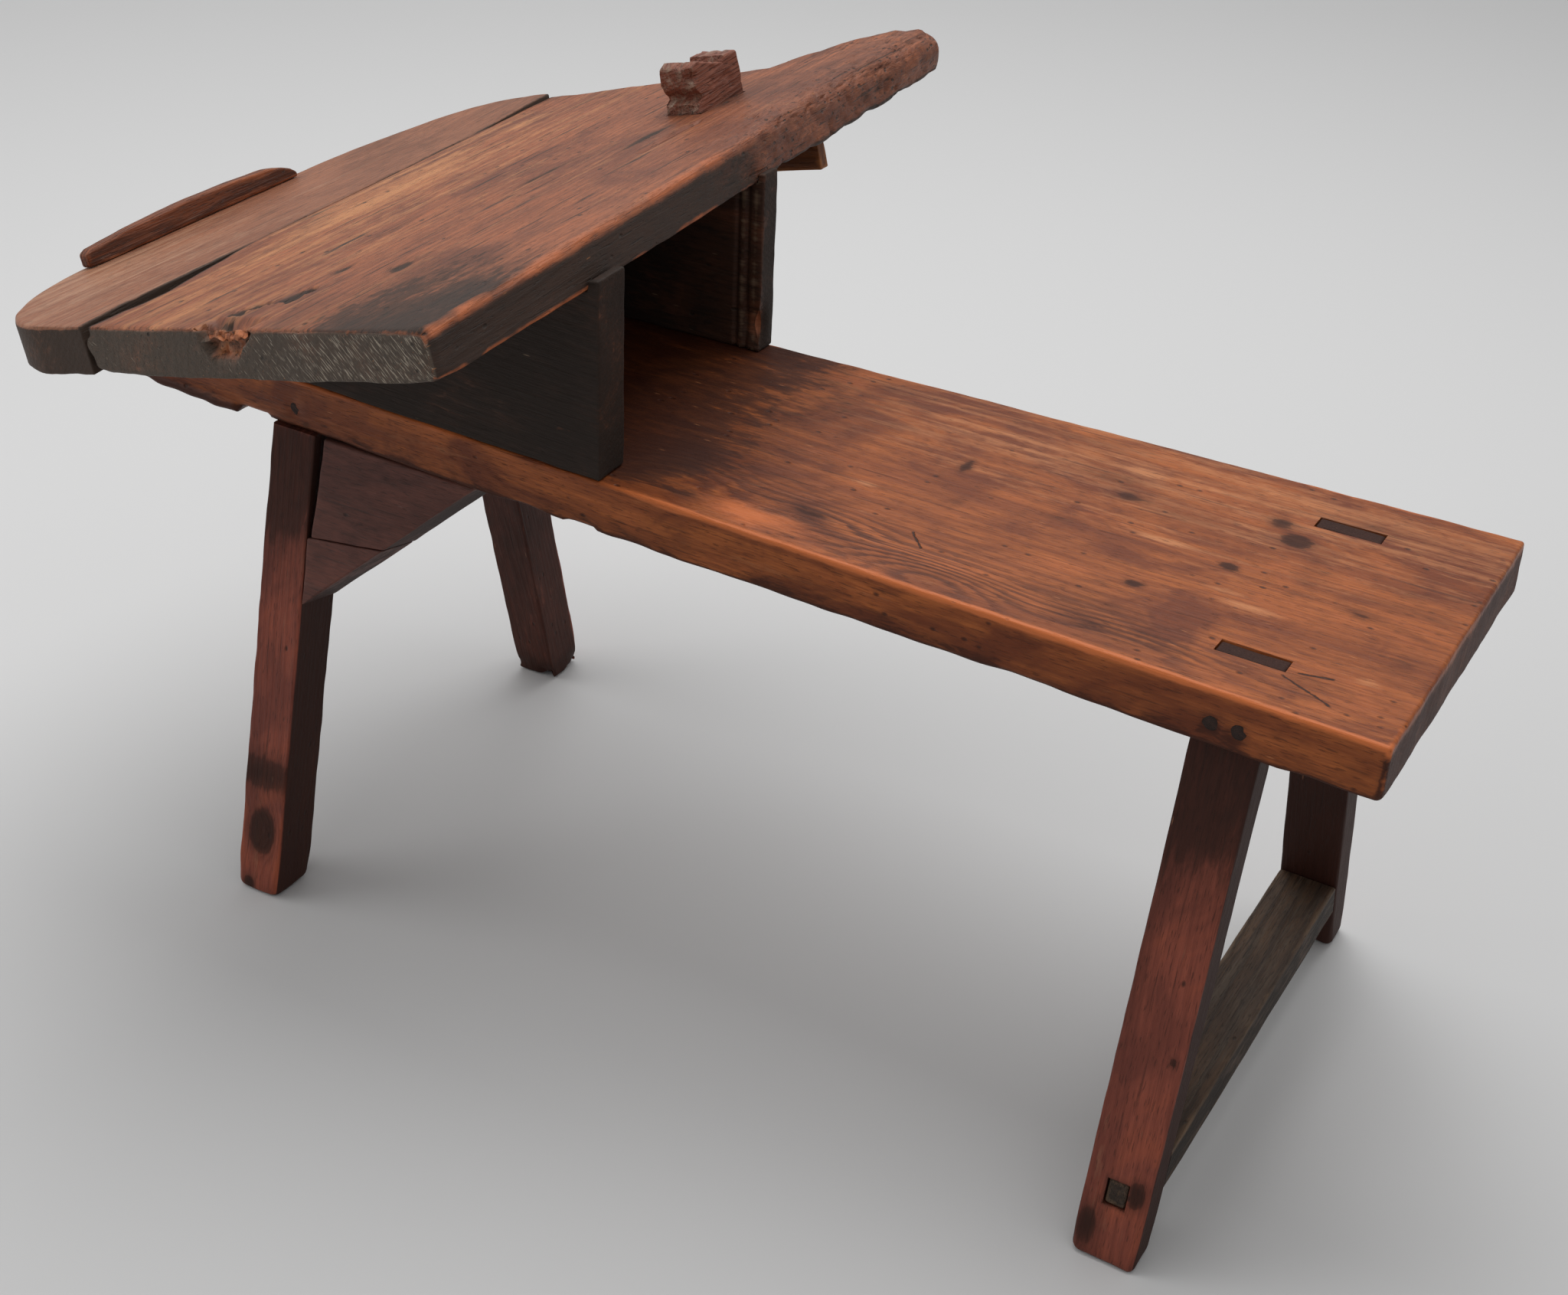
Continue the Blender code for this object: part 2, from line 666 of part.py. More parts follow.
def make_stop(top, wide, material):
    """Build the hooked bench stop and cut its mortise through the wide board."""
    near = STOP_NEAR_FACE
    far = near + STOP_LENGTH
    u_high = -STOP_FROM_HIGH_EDGE
    u_low = u_high - STOP_WIDTH
    front = TOP_THICK + STOP_FRONT_HEIGHT
    back = TOP_THICK + STOP_BACK_HEIGHT
    ring = [
        (0.0, -STOP_STEM),
        (0.0, TOP_THICK + STOP_LEDGE),
        (STOP_UNDERCUT, TOP_THICK + STOP_LEDGE + ARRIS),
        (STOP_UNDERCUT, front - STOP_HOOK - ARRIS),
        (0.0, front - STOP_HOOK),
        (0.0, front),
        (STOP_RIDGE, TOP_THICK + STOP_RIDGE_HEIGHT),
        (STOP_DIP, TOP_THICK + STOP_DIP_HEIGHT),
        (STOP_DIP + ARRIS, back),
        (STOP_LENGTH - ARRIS, back),
        (STOP_LENGTH, back - ARRIS),
        (STOP_LENGTH, -STOP_STEM),
    ]
    seat = empty("stop_slide", top, Matrix.Translation((u_low + STOP_WIDTH / 2, near, 0.0)))
    half = STOP_WIDTH / 2
    mesh = between([(-half, y, w) for y, w in ring], [(half, y, w) for y, w in ring])
    add("bench_stop", mesh, seat, material)
    hole_low = (u_low - STOP_FIT, near - STOP_FIT, -TOP_THICK)
    hole_high = (u_high + STOP_FIT, far + STOP_FIT, 2 * TOP_THICK)
    cut(wide, "stop_mortise", box(hole_low, hole_high), top)


def nail_shape(grip, clearance=0.0, mouth=-FLUSH):
    """Return a T-headed cut nail along -z with its head just below z 0, or its hole when given a clearance."""
    shank = NAIL_SHANK / 2 + clearance
    head = NAIL_HEAD / 2 + clearance
    under = -FLUSH - NAIL_HEAD_THICK - clearance
    point = -grip - clearance
    ring = [(-head, mouth), (-head, under), (-shank, under), (-shank, point),
            (shank, point), (shank, under), (head, under), (head, mouth)]
    return between([(x, -shank, z) for x, z in ring], [(x, shank, z) for x, z in ring])


def drive_nail(name, place, parent, grip, pieces, material, turn=Matrix.Identity(4)):
    """Add a nail at a place on its parent and cut its hole in each piece that it holds."""
    matrix = Matrix.Translation(place) @ turn
    seat = empty(name + "_axis", parent, matrix)
    add(name, nail_shape(grip), seat, material)
    for piece in pieces:
        cut(piece, name + "_hole", nail_shape(grip, GAP, NAIL_HEAD), seat)


def make_nails(root, top, plank, supports, boards, material):
    """Drive the nails that hold the work top, the supports, the lip and the cleat."""
    top_grip = TOP_THICK + TOP_NAIL_GRIP
    for side in (NEAR, FAR):
        name = SIDE_NAMES[side]
        rows = [("wide", 1, -WIDE_NAIL_INSET), ("wide", 2, -WIDE_NAIL_INSET - WIDE_NAIL_SPACING),
                ("low", 1, -WIDE_BOARD_WIDTH - LOW_NAIL_INSET)]
        for board, number, u in rows:
            x = -SUPPORT_FROM_END + u * math.cos(TOP_TILT)
            y = side * (plank_edge(x) - support_thick(side) / 2)
            drive_nail("%s_%s_top_nail_%d" % (name, board, number), Vector((u, y, TOP_THICK)), top,
                       top_grip, (boards[board], supports[side]), material)
        feet = (support_front(side) - FOOT_NAIL_INSET, WORK_LEG.x_high + FOOT_NAIL_FROM_LEG)
        for number, x in enumerate(feet, 1):
            y = side * (plank_edge(x) - support_thick(side) / 2)
            drive_nail("%s_support_nail_%d" % (name, number), Vector((x, y, PLANK_UNDER)), root,
                       PLANK_THICK + FOOT_NAIL_GRIP, (plank, supports[side]), material, UPWARDS)
    outer, start = lip_place()
    spacing = LIP_LENGTH / 2 - LIP_NAIL_INSET
    for number in (1, 2, 3):
        y = start + LIP_NAIL_INSET + spacing * (number - 1)
        height = lip_height((y - start) / LIP_LENGTH)
        place = Vector((outer + LIP_THICK / 2, y, TOP_THICK + GAP + height))
        drive_nail("lip_nail_%d" % number, place, top, height + LIP_NAIL_GRIP,
                   (boards["lip"], boards["low"]), material, LENGTHWAYS)
    u_low, u_high = cleat_place()
    for number, u in ((1, u_low + CLEAT_NAIL_INSET), (2, u_high - CLEAT_NAIL_INSET)):
        place = Vector((u, CLEAT_NEAR_FACE + CLEAT_THICK / 2, TOP_THICK))
        drive_nail("cleat_nail_%d" % number, place, top, TOP_THICK + CLEAT_NAIL_GRIP,
                   (boards["wide"], boards["cleat"]), material)


def main():
    """Build the whole bench."""
    clear_scene()
    materials = {
        "seat": wood("seat_wood", SEAT_BROWN, 0.38),
        "leg": wood("leg_wood", LEG_BROWN, 0.50),
        "rail": wood("stretcher_wood", RAIL_BROWN, 0.65),
        "top": wood("top_wood", TOP_BROWN, 0.50),
        "dark": wood("support_wood", DARK_BROWN, 0.60),
        "peg": wood("peg_wood", PEG_BROWN, 0.60),
        "iron": wood("nail_iron", IRON_GREY, 0.55, 1.0),
    }
    root = empty("bench", matrix=Matrix.Translation(ROOT_OFFSET))
    top_place = Matrix.Translation((-SUPPORT_FROM_END, 0.0, SEAT_HEIGHT + SUPPORT_HEIGHT))
    top = empty("work_top", root, top_place @ Matrix.Rotation(-TOP_TILT, 4, "Y"))
    plank = make_plank(root, materials["seat"])
    seat_legs = {}
    supports = {}
    for side in (NEAR, FAR):
        seat_legs[side] = make_leg(SEAT_LEG, side, root, materials["leg"])
        make_leg(WORK_LEG, side, root, materials["leg"])
        make_tenon_pegs(SEAT_LEG, side, root, materials["peg"])
        make_tenon_pegs(WORK_LEG, side, root, materials["peg"])
        make_braces(side, root, materials["leg"])
        supports[side] = make_support(side, root, materials["dark"])
    make_stretcher(root, seat_legs, materials["rail"])
    boards = make_top(top, materials)
    make_nails(root, top, plank, supports, boards, materials["iron"])


main()
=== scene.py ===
"""Looks of an old cobbler's bench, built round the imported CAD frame.

Every wooden piece is one closed skin of quads on a block lattice. Three shares from 0 to 1 (along, across,
through) run over the block's six faces, the arrises are rounded, the block is carried into its place on the
bench, and wear moves the skin along its normals. Bench coordinates: x is 0 at the seat end and negative
towards the low end, y is 0 on the centre line and negative on the near side, z is 0 on the floor. Work top
coordinates: u climbs the slope, v runs across the bench as y does, w stands square to the slope.
"""

import logging
import math
from dataclasses import dataclass, field
from enum import Enum
from typing import Optional, Sequence, Union

import bpy
import numpy as np
from mathutils import Matrix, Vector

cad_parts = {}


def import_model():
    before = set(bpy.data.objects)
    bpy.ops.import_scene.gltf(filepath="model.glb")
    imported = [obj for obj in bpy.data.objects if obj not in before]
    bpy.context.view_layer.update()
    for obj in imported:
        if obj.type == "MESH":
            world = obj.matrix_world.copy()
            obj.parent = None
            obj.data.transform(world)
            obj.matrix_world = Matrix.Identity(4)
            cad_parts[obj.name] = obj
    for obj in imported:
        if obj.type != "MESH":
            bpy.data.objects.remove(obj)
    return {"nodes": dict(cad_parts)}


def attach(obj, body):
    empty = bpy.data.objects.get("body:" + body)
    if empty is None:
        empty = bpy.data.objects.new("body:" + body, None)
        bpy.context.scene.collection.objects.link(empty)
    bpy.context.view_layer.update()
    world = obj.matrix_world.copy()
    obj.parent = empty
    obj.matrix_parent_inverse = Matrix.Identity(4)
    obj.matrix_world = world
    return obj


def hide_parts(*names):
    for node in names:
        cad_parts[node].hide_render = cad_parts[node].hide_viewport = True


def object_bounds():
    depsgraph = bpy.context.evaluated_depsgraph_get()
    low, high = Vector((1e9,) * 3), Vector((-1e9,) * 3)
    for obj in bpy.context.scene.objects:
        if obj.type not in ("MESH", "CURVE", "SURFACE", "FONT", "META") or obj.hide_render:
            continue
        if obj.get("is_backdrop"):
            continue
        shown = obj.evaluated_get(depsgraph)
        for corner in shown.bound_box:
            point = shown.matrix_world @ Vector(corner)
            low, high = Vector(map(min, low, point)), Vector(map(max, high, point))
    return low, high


Array = np.ndarray
Lines = tuple[Array, Array, Array]
Marks = dict[str, Array]
Length = Union[float, Array]
Floats = Sequence[float]
Range = tuple[float, float]
Points = tuple[tuple[float, float], ...]
Colour = tuple[float, float, float]
Socket = bpy.types.NodeSocket
Material = bpy.types.Material

LOG = logging.getLogger("bench")

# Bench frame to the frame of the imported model
ROW_SHIFT = np.array((0.51, -0.07, 0.0))

# Sizes that several pieces share, in metres
GAP = 0.0003
FLUSH = 0.0005
SEAT_HEIGHT = 0.416
PLANK_LENGTH = 1.02
PLANK_THICK = 0.04
PLANK_UNDER = SEAT_HEIGHT - PLANK_THICK
PLANK_HALF_WIDTH = 0.1475
PLANK_TAPER = math.tan(math.radians(1.69))
TOP_TILT = math.radians(14.1)
TOP_ORIGIN = np.array((-0.562, 0.0, 0.557))
TOP_THICK = 0.034

# Distances from an arris at which every lattice has a line
ARRIS_STEPS = np.array((0.0, 0.0006, 0.0013, 0.0021, 0.0031, 0.0044, 0.0062))
SHARP_ANGLE = math.radians(52)
HASH_FACTORS = np.array((374761393, 668265263, 2246822519), dtype=np.uint32)
SEED_FACTOR = 2654435761
CRACK_WIDTH = 0.0011
CELL_CORNERS = np.array([(i, j, k) for i in (0, 1) for j in (0, 1) for k in (0, 1)])


class Side(Enum):
    """The two long sides of the bench, with the sign of y on each."""

    NEAR = -1
    FAR = 1

    @property
    def label(self) -> str:
        """The side's word in piece names."""
        return self.name.lower()


class Body(Enum):
    """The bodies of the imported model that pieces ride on."""

    BENCH = "bench"
    STOP = "stop"


class Slot(Enum):
    """The record's material slots."""

    SEAT = "seat_wood"
    LEG = "leg_wood"
    STRETCHER = "stretcher_wood"
    TOP = "top_wood"
    SUPPORT = "support_wood"
    PEG = "peg_wood"


def hashed(cells: Array, seed: int) -> Array:
    """Give each whole-number cell one repeatable number: the coordinates are multiplied, added and stirred.

    Args:
        cells: Whole numbers, one row of three per cell.
        seed: Picks one of many patterns.

    Returns:
        One number from 0 to 1 per row.
    """
    start = np.uint32((seed * SEED_FACTOR) % 2**32)
    key = (cells.astype(np.uint32) * HASH_FACTORS).sum(axis=1, dtype=np.uint32) + start
    key ^= key >> np.uint32(15)
    key *= np.uint32(2246822519)
    key ^= key >> np.uint32(13)
    key *= np.uint32(3266489917)
    key ^= key >> np.uint32(16)
    return key / 2.0**32


def noise(points: Array, cell: Floats, seed: int, octaves: int = 1) -> Array:
    """Smooth noise: random numbers on the corners of cells, blended inside by 3t^2 - 2t^3, in halved octaves.

    Args:
        points: One row of three coordinates per point.
        cell: Size of a cell along each axis.
        seed: Picks one of many patterns.
        octaves: How many layers, each half as large and half as strong.

    Returns:
        About -1 to 1 for each point.
    """
    total = np.zeros(len(points))
    for octave in range(octaves):
        scaled = points / (np.asarray(cell) / 2**octave)
        base = np.floor(scaled).astype(np.int64)
        share = scaled - base
        share = share * share * (3 - 2 * share)
        layer = np.zeros(len(points))
        for corner in CELL_CORNERS:
            weight = np.where(corner == 1, share, 1 - share).prod(axis=1)
            layer += weight * hashed(base + corner, seed + 31 * octave)
        total += (2 * layer - 1) / 2**octave
    return total


def held(values: Array) -> Array:
    """Hold values between 0 and 1."""
    return np.clip(values, 0.0, 1.0)


def columns(*parts: Length) -> Array:
    """Stack values as columns, one row per vertex; a plain number fills its column."""
    return np.stack(np.broadcast_arrays(*parts), axis=1)


def smooth(values: Array, low: float, high: float) -> Array:
    """Rise from 0 at low to 1 at high by 3t^2 - 2t^3; high may be below low."""
    share = held((values - low) / (high - low))
    return share * share * (3 - 2 * share)


def ridge(values: Array, centre: Length, width: float) -> Array:
    """Bell of height 1 round a centre on a line: e to the minus squared distance in widths."""
    return np.exp(-((values - centre) / width) ** 2)


def blot(along: Array, across: Array, centre: Floats, radii: Floats) -> Array:
    """Bell of height 1 round a centre: e to the minus squared distance in radii."""
    return np.exp(-((along - centre[0]) / radii[0]) ** 2 - ((across - centre[1]) / radii[1]) ** 2)


def blots(along: Array, across: Array, table: Sequence[Sequence]) -> Array:
    """Sum of bells, each given as place, radii and strength."""
    total = np.zeros(len(along))
    for place, radii, level in table:
        total += level * blot(along, across, place, radii)
    return total


def band(values: Array, low: float, high: float, soft: float) -> Array:
    """Return 1 between low and high, falling to 0 over a soft distance outside."""
    return smooth(values, low - soft, low) * smooth(values, high + soft, high)


def beside(along: Array, across: Array, start: Floats, end: Floats, width: float) -> Array:
    """Bell of height 1 along a straight line: e to the minus squared distance from it in widths."""
    run = (end[0] - start[0], end[1] - start[1])
    share = ((along - start[0]) * run[0] + (across - start[1]) * run[1]) / (run[0] ** 2 + run[1] ** 2)
    share = held(share)
    away = np.hypot(along - start[0] - share * run[0], across - start[1] - share * run[1])
    return ridge(away, 0.0, width)


def shares(length: float, step: float, extra: Floats = ()) -> Array:
    """Lattice lines of a length: close beside both ends, one step apart between, with the extra lines kept.

    Args:
        length: The length in metres.
        step: Distance between plain lines.
        extra: Distances that must have a line.

    Returns:
        Rising shares of the length from 0 to 1.
    """
    margin = ARRIS_STEPS * min(1.0, 0.4 * length / ARRIS_STEPS[-1])
    count = max(int(round((length - 2 * margin[-1]) / step)), 1)
    middle = np.linspace(margin[-1], length - margin[-1], count + 1)
    plain = np.concatenate((margin[:-1], middle, length - margin[-2::-1]))
    if len(extra):
        kept = np.asarray(sorted(extra))
        clearance = np.abs(plain[:, None] - kept[None, :]).min(axis=1)
        inner = clearance > 0.65 * step
        inner[[0, -1]] = True
        plain = np.concatenate((plain[inner], kept))
    return np.unique(plain) / length


def follow(corners: Array, share: Array) -> Array:
    """Points along a line through corners, at shares of its length."""
    legs = np.linalg.norm(np.diff(corners, axis=0), axis=1)
    reached = np.concatenate(((0.0,), np.cumsum(legs)))
    wanted = share * reached[-1]
    return np.stack([np.interp(wanted, reached, line) for line in corners.T], axis=-1)


def quarter(centre: Floats, start: Floats, end: Floats, low: float = 0.0,
            high: float = 1.0, count: int = 24) -> Array:
    """Part of a quarter ellipse: centre + start cos(angle) + end sin(angle), between two shares of it."""
    angle = np.linspace(low, high, count)[:, None] * math.pi / 2
    return np.asarray(centre) + np.asarray(start) * np.cos(angle) + np.asarray(end) * np.sin(angle)


def plank_edge(x: Length) -> Length:
    """Half width of the seat plank at x."""
    return PLANK_HALF_WIDTH + PLANK_TAPER * x


def top_underside(x: Length) -> Length:
    """Height of the work top's underside above the floor at x."""
    return TOP_ORIGIN[2] + (x - TOP_ORIGIN[0]) * math.tan(TOP_TILT)


def on_slope(u: Array, v: Array, w: Array) -> Array:
    """Carry work top coordinates into the bench frame."""
    x = TOP_ORIGIN[0] + u * math.cos(TOP_TILT) - w * math.sin(TOP_TILT)
    z = TOP_ORIGIN[2] + u * math.sin(TOP_TILT) + w * math.cos(TOP_TILT)
    return columns(x, v, z)


@dataclass(frozen=True)
class Mortise:
    """A hole through a block, as shares along it and across its high and low faces."""

    along: Range
    across_high: Range
    across_low: Range


def sheet_quads(sheet: Array, turned: bool, opening: Optional[tuple[slice, slice]] = None) -> Array:
    """Quads between neighbouring points of one grid sheet, without those of an opening.

    Args:
        sheet: Vertex numbers on a grid.
        turned: Whether the quads face the other way.
        opening: Rows and columns of quads to leave out.

    Returns:
        One row of four vertex numbers per quad.
    """
    quads = np.stack((sheet[:-1, :-1], sheet[1:, :-1], sheet[1:, 1:], sheet[:-1, 1:]), axis=2)
    if turned:
        quads = quads[:, :, ::-1]
    kept = np.ones(quads.shape[:2], bool)
    for rows, columns in opening or ():
        kept[rows, columns] = False
    return quads[kept]


def ring_of(sheet: Array, rows: tuple[int, int], columns: tuple[int, int]) -> Array:
    """Vertex numbers round a rectangle of a sheet, in turning order."""
    (i0, i1), (j0, j1) = rows, columns
    return np.concatenate((sheet[i0:i1, j0], sheet[i1, j0:j1], sheet[i1:i0:-1, j1], sheet[i0, j1:j0:-1]))


def block_lattice(lines: Sequence[Array], mortises: Sequence[Mortise]) -> tuple[Array, Array]:
    """Closed skin of a block: six grids that share their border points, with straight walls in each mortise.

    Args:
        lines: Shares at which the lattice has lines, along, across and through.
        mortises: Holes from the high to the low face.

    Returns:
        Shares of each vertex (one row of three) and the quads.
    """
    counts = tuple(len(line) for line in lines)
    skin = np.zeros(counts, bool)
    skin[[0, -1]] = True
    skin[:, [0, -1]] = True
    skin[:, :, [0, -1]] = True
    number = np.full(counts, -1)
    number[skin] = np.arange(skin.sum())
    unit = np.stack([lines[axis][places] for axis, places in enumerate(np.nonzero(skin))], axis=1)
    high_face, low_face = number[:, :, -1], number[:, :, 0]
    high_holes, low_holes, walls = [], [], []
    for hole in mortises:
        rows = tuple(int(np.abs(lines[0] - share).argmin()) for share in hole.along)
        high = tuple(int(np.abs(lines[1] - share).argmin()) for share in hole.across_high)
        low = tuple(int(np.abs(lines[1] - share).argmin()) for share in hole.across_low)
        high_holes.append((slice(*rows), slice(*high)))
        low_holes.append((slice(*rows), slice(*low)))
        upper = ring_of(high_face, rows, high)
        lower = ring_of(low_face, rows, low)
        walls.append(np.stack((upper, np.roll(upper, -1), np.roll(lower, -1), lower), axis=1))
    quads = np.concatenate((
        sheet_quads(number[0], True), sheet_quads(number[-1], False),
        sheet_quads(number[:, 0], False), sheet_quads(number[:, -1], True),
        sheet_quads(low_face, True, low_holes), sheet_quads(high_face, False, high_holes), *walls,
    ))
    used, quads = np.unique(quads, return_inverse=True)
    return unit[used], quads.reshape(-1, 4)


def face_vectors(points: Array, quads: Array) -> Array:
    """Twice the area of each quad along its normal: the cross product of its diagonals."""
    first, second, third, fourth = (points[quads[:, corner]] for corner in range(4))
    return np.cross(third - first, fourth - second)


def skin_normals(points: Array, quads: Array) -> Array:
    """Unit normals: the face vectors, added up on the corners of each quad."""
    faces = face_vectors(points, quads)
    total = np.zeros_like(points)
    for corner in range(4):
        np.add.at(total, quads[:, corner], faces)
    return total / np.maximum(np.linalg.norm(total, axis=1, keepdims=True), 1e-12)


def turned_out(points: Array, quads: Array) -> Array:
    """Turn a closed skin's quads to face outwards: middles times face vectors sum to six times its volume."""
    volume = (points[quads].mean(axis=1) * face_vectors(points, quads)).sum()
    return quads[:, ::-1] if volume < 0 else quads


def rounded(unit: Array, size: Array, radius: Array) -> Array:
    """Round a block's arrises: a point past the inner block is drawn in until it is one radius away from it.

    Args:
        unit: Shares of each vertex.
        size: Length, width and thickness at each vertex.
        radius: Arris radius at each vertex.

    Returns:
        The moved shares.
    """
    low = unit * size
    high = (1 - unit) * size
    reach = np.minimum(radius[:, None], 0.45 * size)
    past = np.where(low < high, np.minimum(low - reach, 0.0), np.maximum(reach - high, 0.0)) / reach
    distance = np.maximum(np.linalg.norm(past, axis=1, keepdims=True), 1.0)
    return unit + past * reach * (1 / distance - 1) / size


def link(item: bpy.types.Object) -> bpy.types.Object:
    """Put a new object in the scene."""
    bpy.context.scene.collection.objects.link(item)
    return item


def put_piece(name: str, points: Array, quads: Array, marks: Marks, finish: Material,
              body: Body) -> None:
    """Make a piece of a skin given in the bench frame, dress it and hang it on its body.

    Args:
        name: Name of the piece, which is its CAD node's name and "_wood".
        points: Vertex places in the bench frame.
        quads: Vertex numbers of each quad.
        marks: Values per vertex that its finish reads.
        finish: The piece's material.
        body: Body that it rides on.
    """
    mesh = bpy.data.meshes.new(name)
    mesh.from_pydata((points + ROW_SHIFT).tolist(), [], quads.tolist())
    for mark, values in marks.items():
        kind, key = ("FLOAT_VECTOR", "vector") if values.ndim == 2 else ("FLOAT", "value")
        layer = mesh.attributes.new(mark, kind, "POINT")
        layer.data.foreach_set(key, values.astype(np.float32).ravel())
    mesh.shade_smooth()
    mesh.set_sharp_from_angle(angle=SHARP_ANGLE)
    mesh.materials.append(finish)
    item = link(bpy.data.objects.new(name, mesh))
    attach(item, body.value)
    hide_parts(name.removesuffix("_wood"))
    LOG.info("%s: %d quads", name, len(quads))


def paint(screen: str) -> Colour:
    """Linear colour of a screen colour in hex digits."""
    level = np.array([int(screen[at:at + 2], 16) for at in (0, 2, 4)]) / 255
    linear = np.where(level <= 0.04045, level / 12.92, ((level + 0.055) / 1.055) ** 2.4)
    return tuple(float(value) for value in linear)


def tones(screens: str) -> tuple[Colour, ...]:
    """Linear colours of several screen colours."""
    return tuple(paint(screen) for screen in screens.split())


class Graph:
    """Short ways to wire the nodes of one material."""

    def __init__(self, name: str) -> None:
        """Start an empty material of this name."""
        self.material = bpy.data.materials.new(name)
        self.material.use_nodes = True
        self.tree = self.material.node_tree
        self.shader = self.tree.nodes["Principled BSDF"]

    def feed(self, target: Socket, value: object) -> None:
        """Link a socket to a target, or set the target's own value."""
        if isinstance(value, bpy.types.NodeSocket):
            self.tree.links.new(value, target)
        elif isinstance(value, tuple) and len(value) == 3 and target.type == "RGBA":
            target.default_value = (*value, 1.0)
        else:
            target.default_value = value

    def node(self, kind: str, inputs: dict[Union[int, str], object], **settings: object) -> bpy.types.Node:
        """Add a node, set its own options and feed its inputs."""
        item = self.tree.nodes.new(kind)
        for key, value in settings.items():
            setattr(item, key, value)
        for key, value in inputs.items():
            self.feed(item.inputs[key], value)
        return item

    def dress(self, **inputs: object) -> None:
        """Feed the shader's inputs; an underscore stands for a space."""
        for key, value in inputs.items():
            self.feed(self.shader.inputs[key.replace("_", " ")], value)

    def mark(self, name: str, output: str = "Fac") -> Socket:
        """Read one of the piece's own vertex marks."""
        return self.node("ShaderNodeAttribute", {}, attribute_name=name).outputs[output]

    def math(self, operation: str, first: object, second: object = 0.0, clamp: bool = False) -> Socket:
        """Do one sum on two values."""
        inputs = {0: first, 1: second}
        return self.node("ShaderNodeMath", inputs, operation=operation, use_clamp=clamp).outputs[0]

    def times(self, first: object, second: object) -> Socket:
        """Multiply two values."""
        return self.math("MULTIPLY", first, second)

    def plus(self, first: object, second: object, clamp: bool = False) -> Socket:
        """Add two values."""
        return self.math("ADD", first, second, clamp)

    def mix(self, share: object, first: object, second: object) -> Socket:
        """Blend two colours by a share."""
        inputs = {0: share, 6: first, 7: second}
        return self.node("ShaderNodeMix", inputs, data_type="RGBA", clamp_factor=True).outputs[2]

    def boxed(self, vector: Socket, place: Floats, turn: Floats, size: Floats) -> Socket:
        """Coordinates in a box: moved to its place, turned with it and measured in its size."""
        inputs = {"Vector": vector, "Location": tuple(place), "Rotation": tuple(turn), "Scale": tuple(size)}
        return self.node("ShaderNodeMapping", inputs, vector_type="TEXTURE").outputs[0]

    def cells(self, vector: Socket, counts: Floats, turn: float = 0.0) -> Socket:
        """Turn a vector round the grain, then count it in cells to the metre along each axis."""
        return self.boxed(vector, (0.0, 0.0, 0.0), (turn, 0.0, 0.0), [1 / count for count in counts])

    def noise(self, vector: Socket, counts: Floats, detail: float = 2.0, rough: float = 0.5,
              bend: float = 0.0, turn: float = 0.0) -> Socket:
        """Noise with this many cells to the metre along each axis."""
        inputs = {"Vector": self.cells(vector, counts, turn), "Scale": 1.0, "Detail": detail,
                  "Roughness": rough, "Distortion": bend}
        return self.node("ShaderNodeTexNoise", inputs).outputs["Fac"]

    def pits(self, vector: Socket, counts: Floats, radius: float, share: float) -> Socket:
        """Round spots in a share of scattered cells, 1 in the middle of each."""
        item = self.node("ShaderNodeTexVoronoi", {"Vector": self.cells(vector, counts), "Scale": 1.0})
        chosen = self.math("GREATER_THAN", item.outputs["Color"], 1 - share)
        return self.times(chosen, self.curve(item.outputs["Distance"], ((0.4 * radius, 1.0), (radius, 0.0))))

    def split(self, vector: Socket, start: Floats, end: Floats, sway: Socket) -> Socket:
        """A fine crack in the upper side from start to end: 1 in it, 0 beside it."""
        turn = math.atan2(end[1] - start[1], end[0] - start[0])
        box = self.boxed(vector, (*start, 0.0), (0.0, 0.0, turn), (math.dist(start, end), CRACK_WIDTH, 1.0))
        along, beside_it, up = self.node("ShaderNodeSeparateXYZ", {0: box}).outputs
        line = self.curve(self.math("ABSOLUTE", self.plus(beside_it, sway)), ((0.4, 1.0), (1.0, 0.0)))
        inside = self.curve(along, ((0.0, 0.0), (0.06, 1.0), (0.94, 1.0), (1.0, 0.0)))
        return self.times(self.times(line, inside), self.math("GREATER_THAN", up, PLANK_THICK / 2))

    def curve(self, value: Socket, stops: Sequence[tuple[float, float]]) -> Socket:
        """Map a value from 0 to 1 through a line of stops."""
        item = self.node("ShaderNodeValToRGB", {0: value})
        while len(item.color_ramp.elements) < len(stops):
            item.color_ramp.elements.new(1.0)
        for element, (place, level) in zip(item.color_ramp.elements, stops):
            element.position = place
            element.color = (level, level, level, 1.0)
        return item.outputs[0]

    def bump(self, height: Socket, strength: float, distance: float) -> None:
        """Raise the surface by a height, in the look only."""
        inputs = {"Strength": strength, "Distance": distance, "Height": height}
        self.dress(Normal=self.node("ShaderNodeBump", inputs).outputs[0])


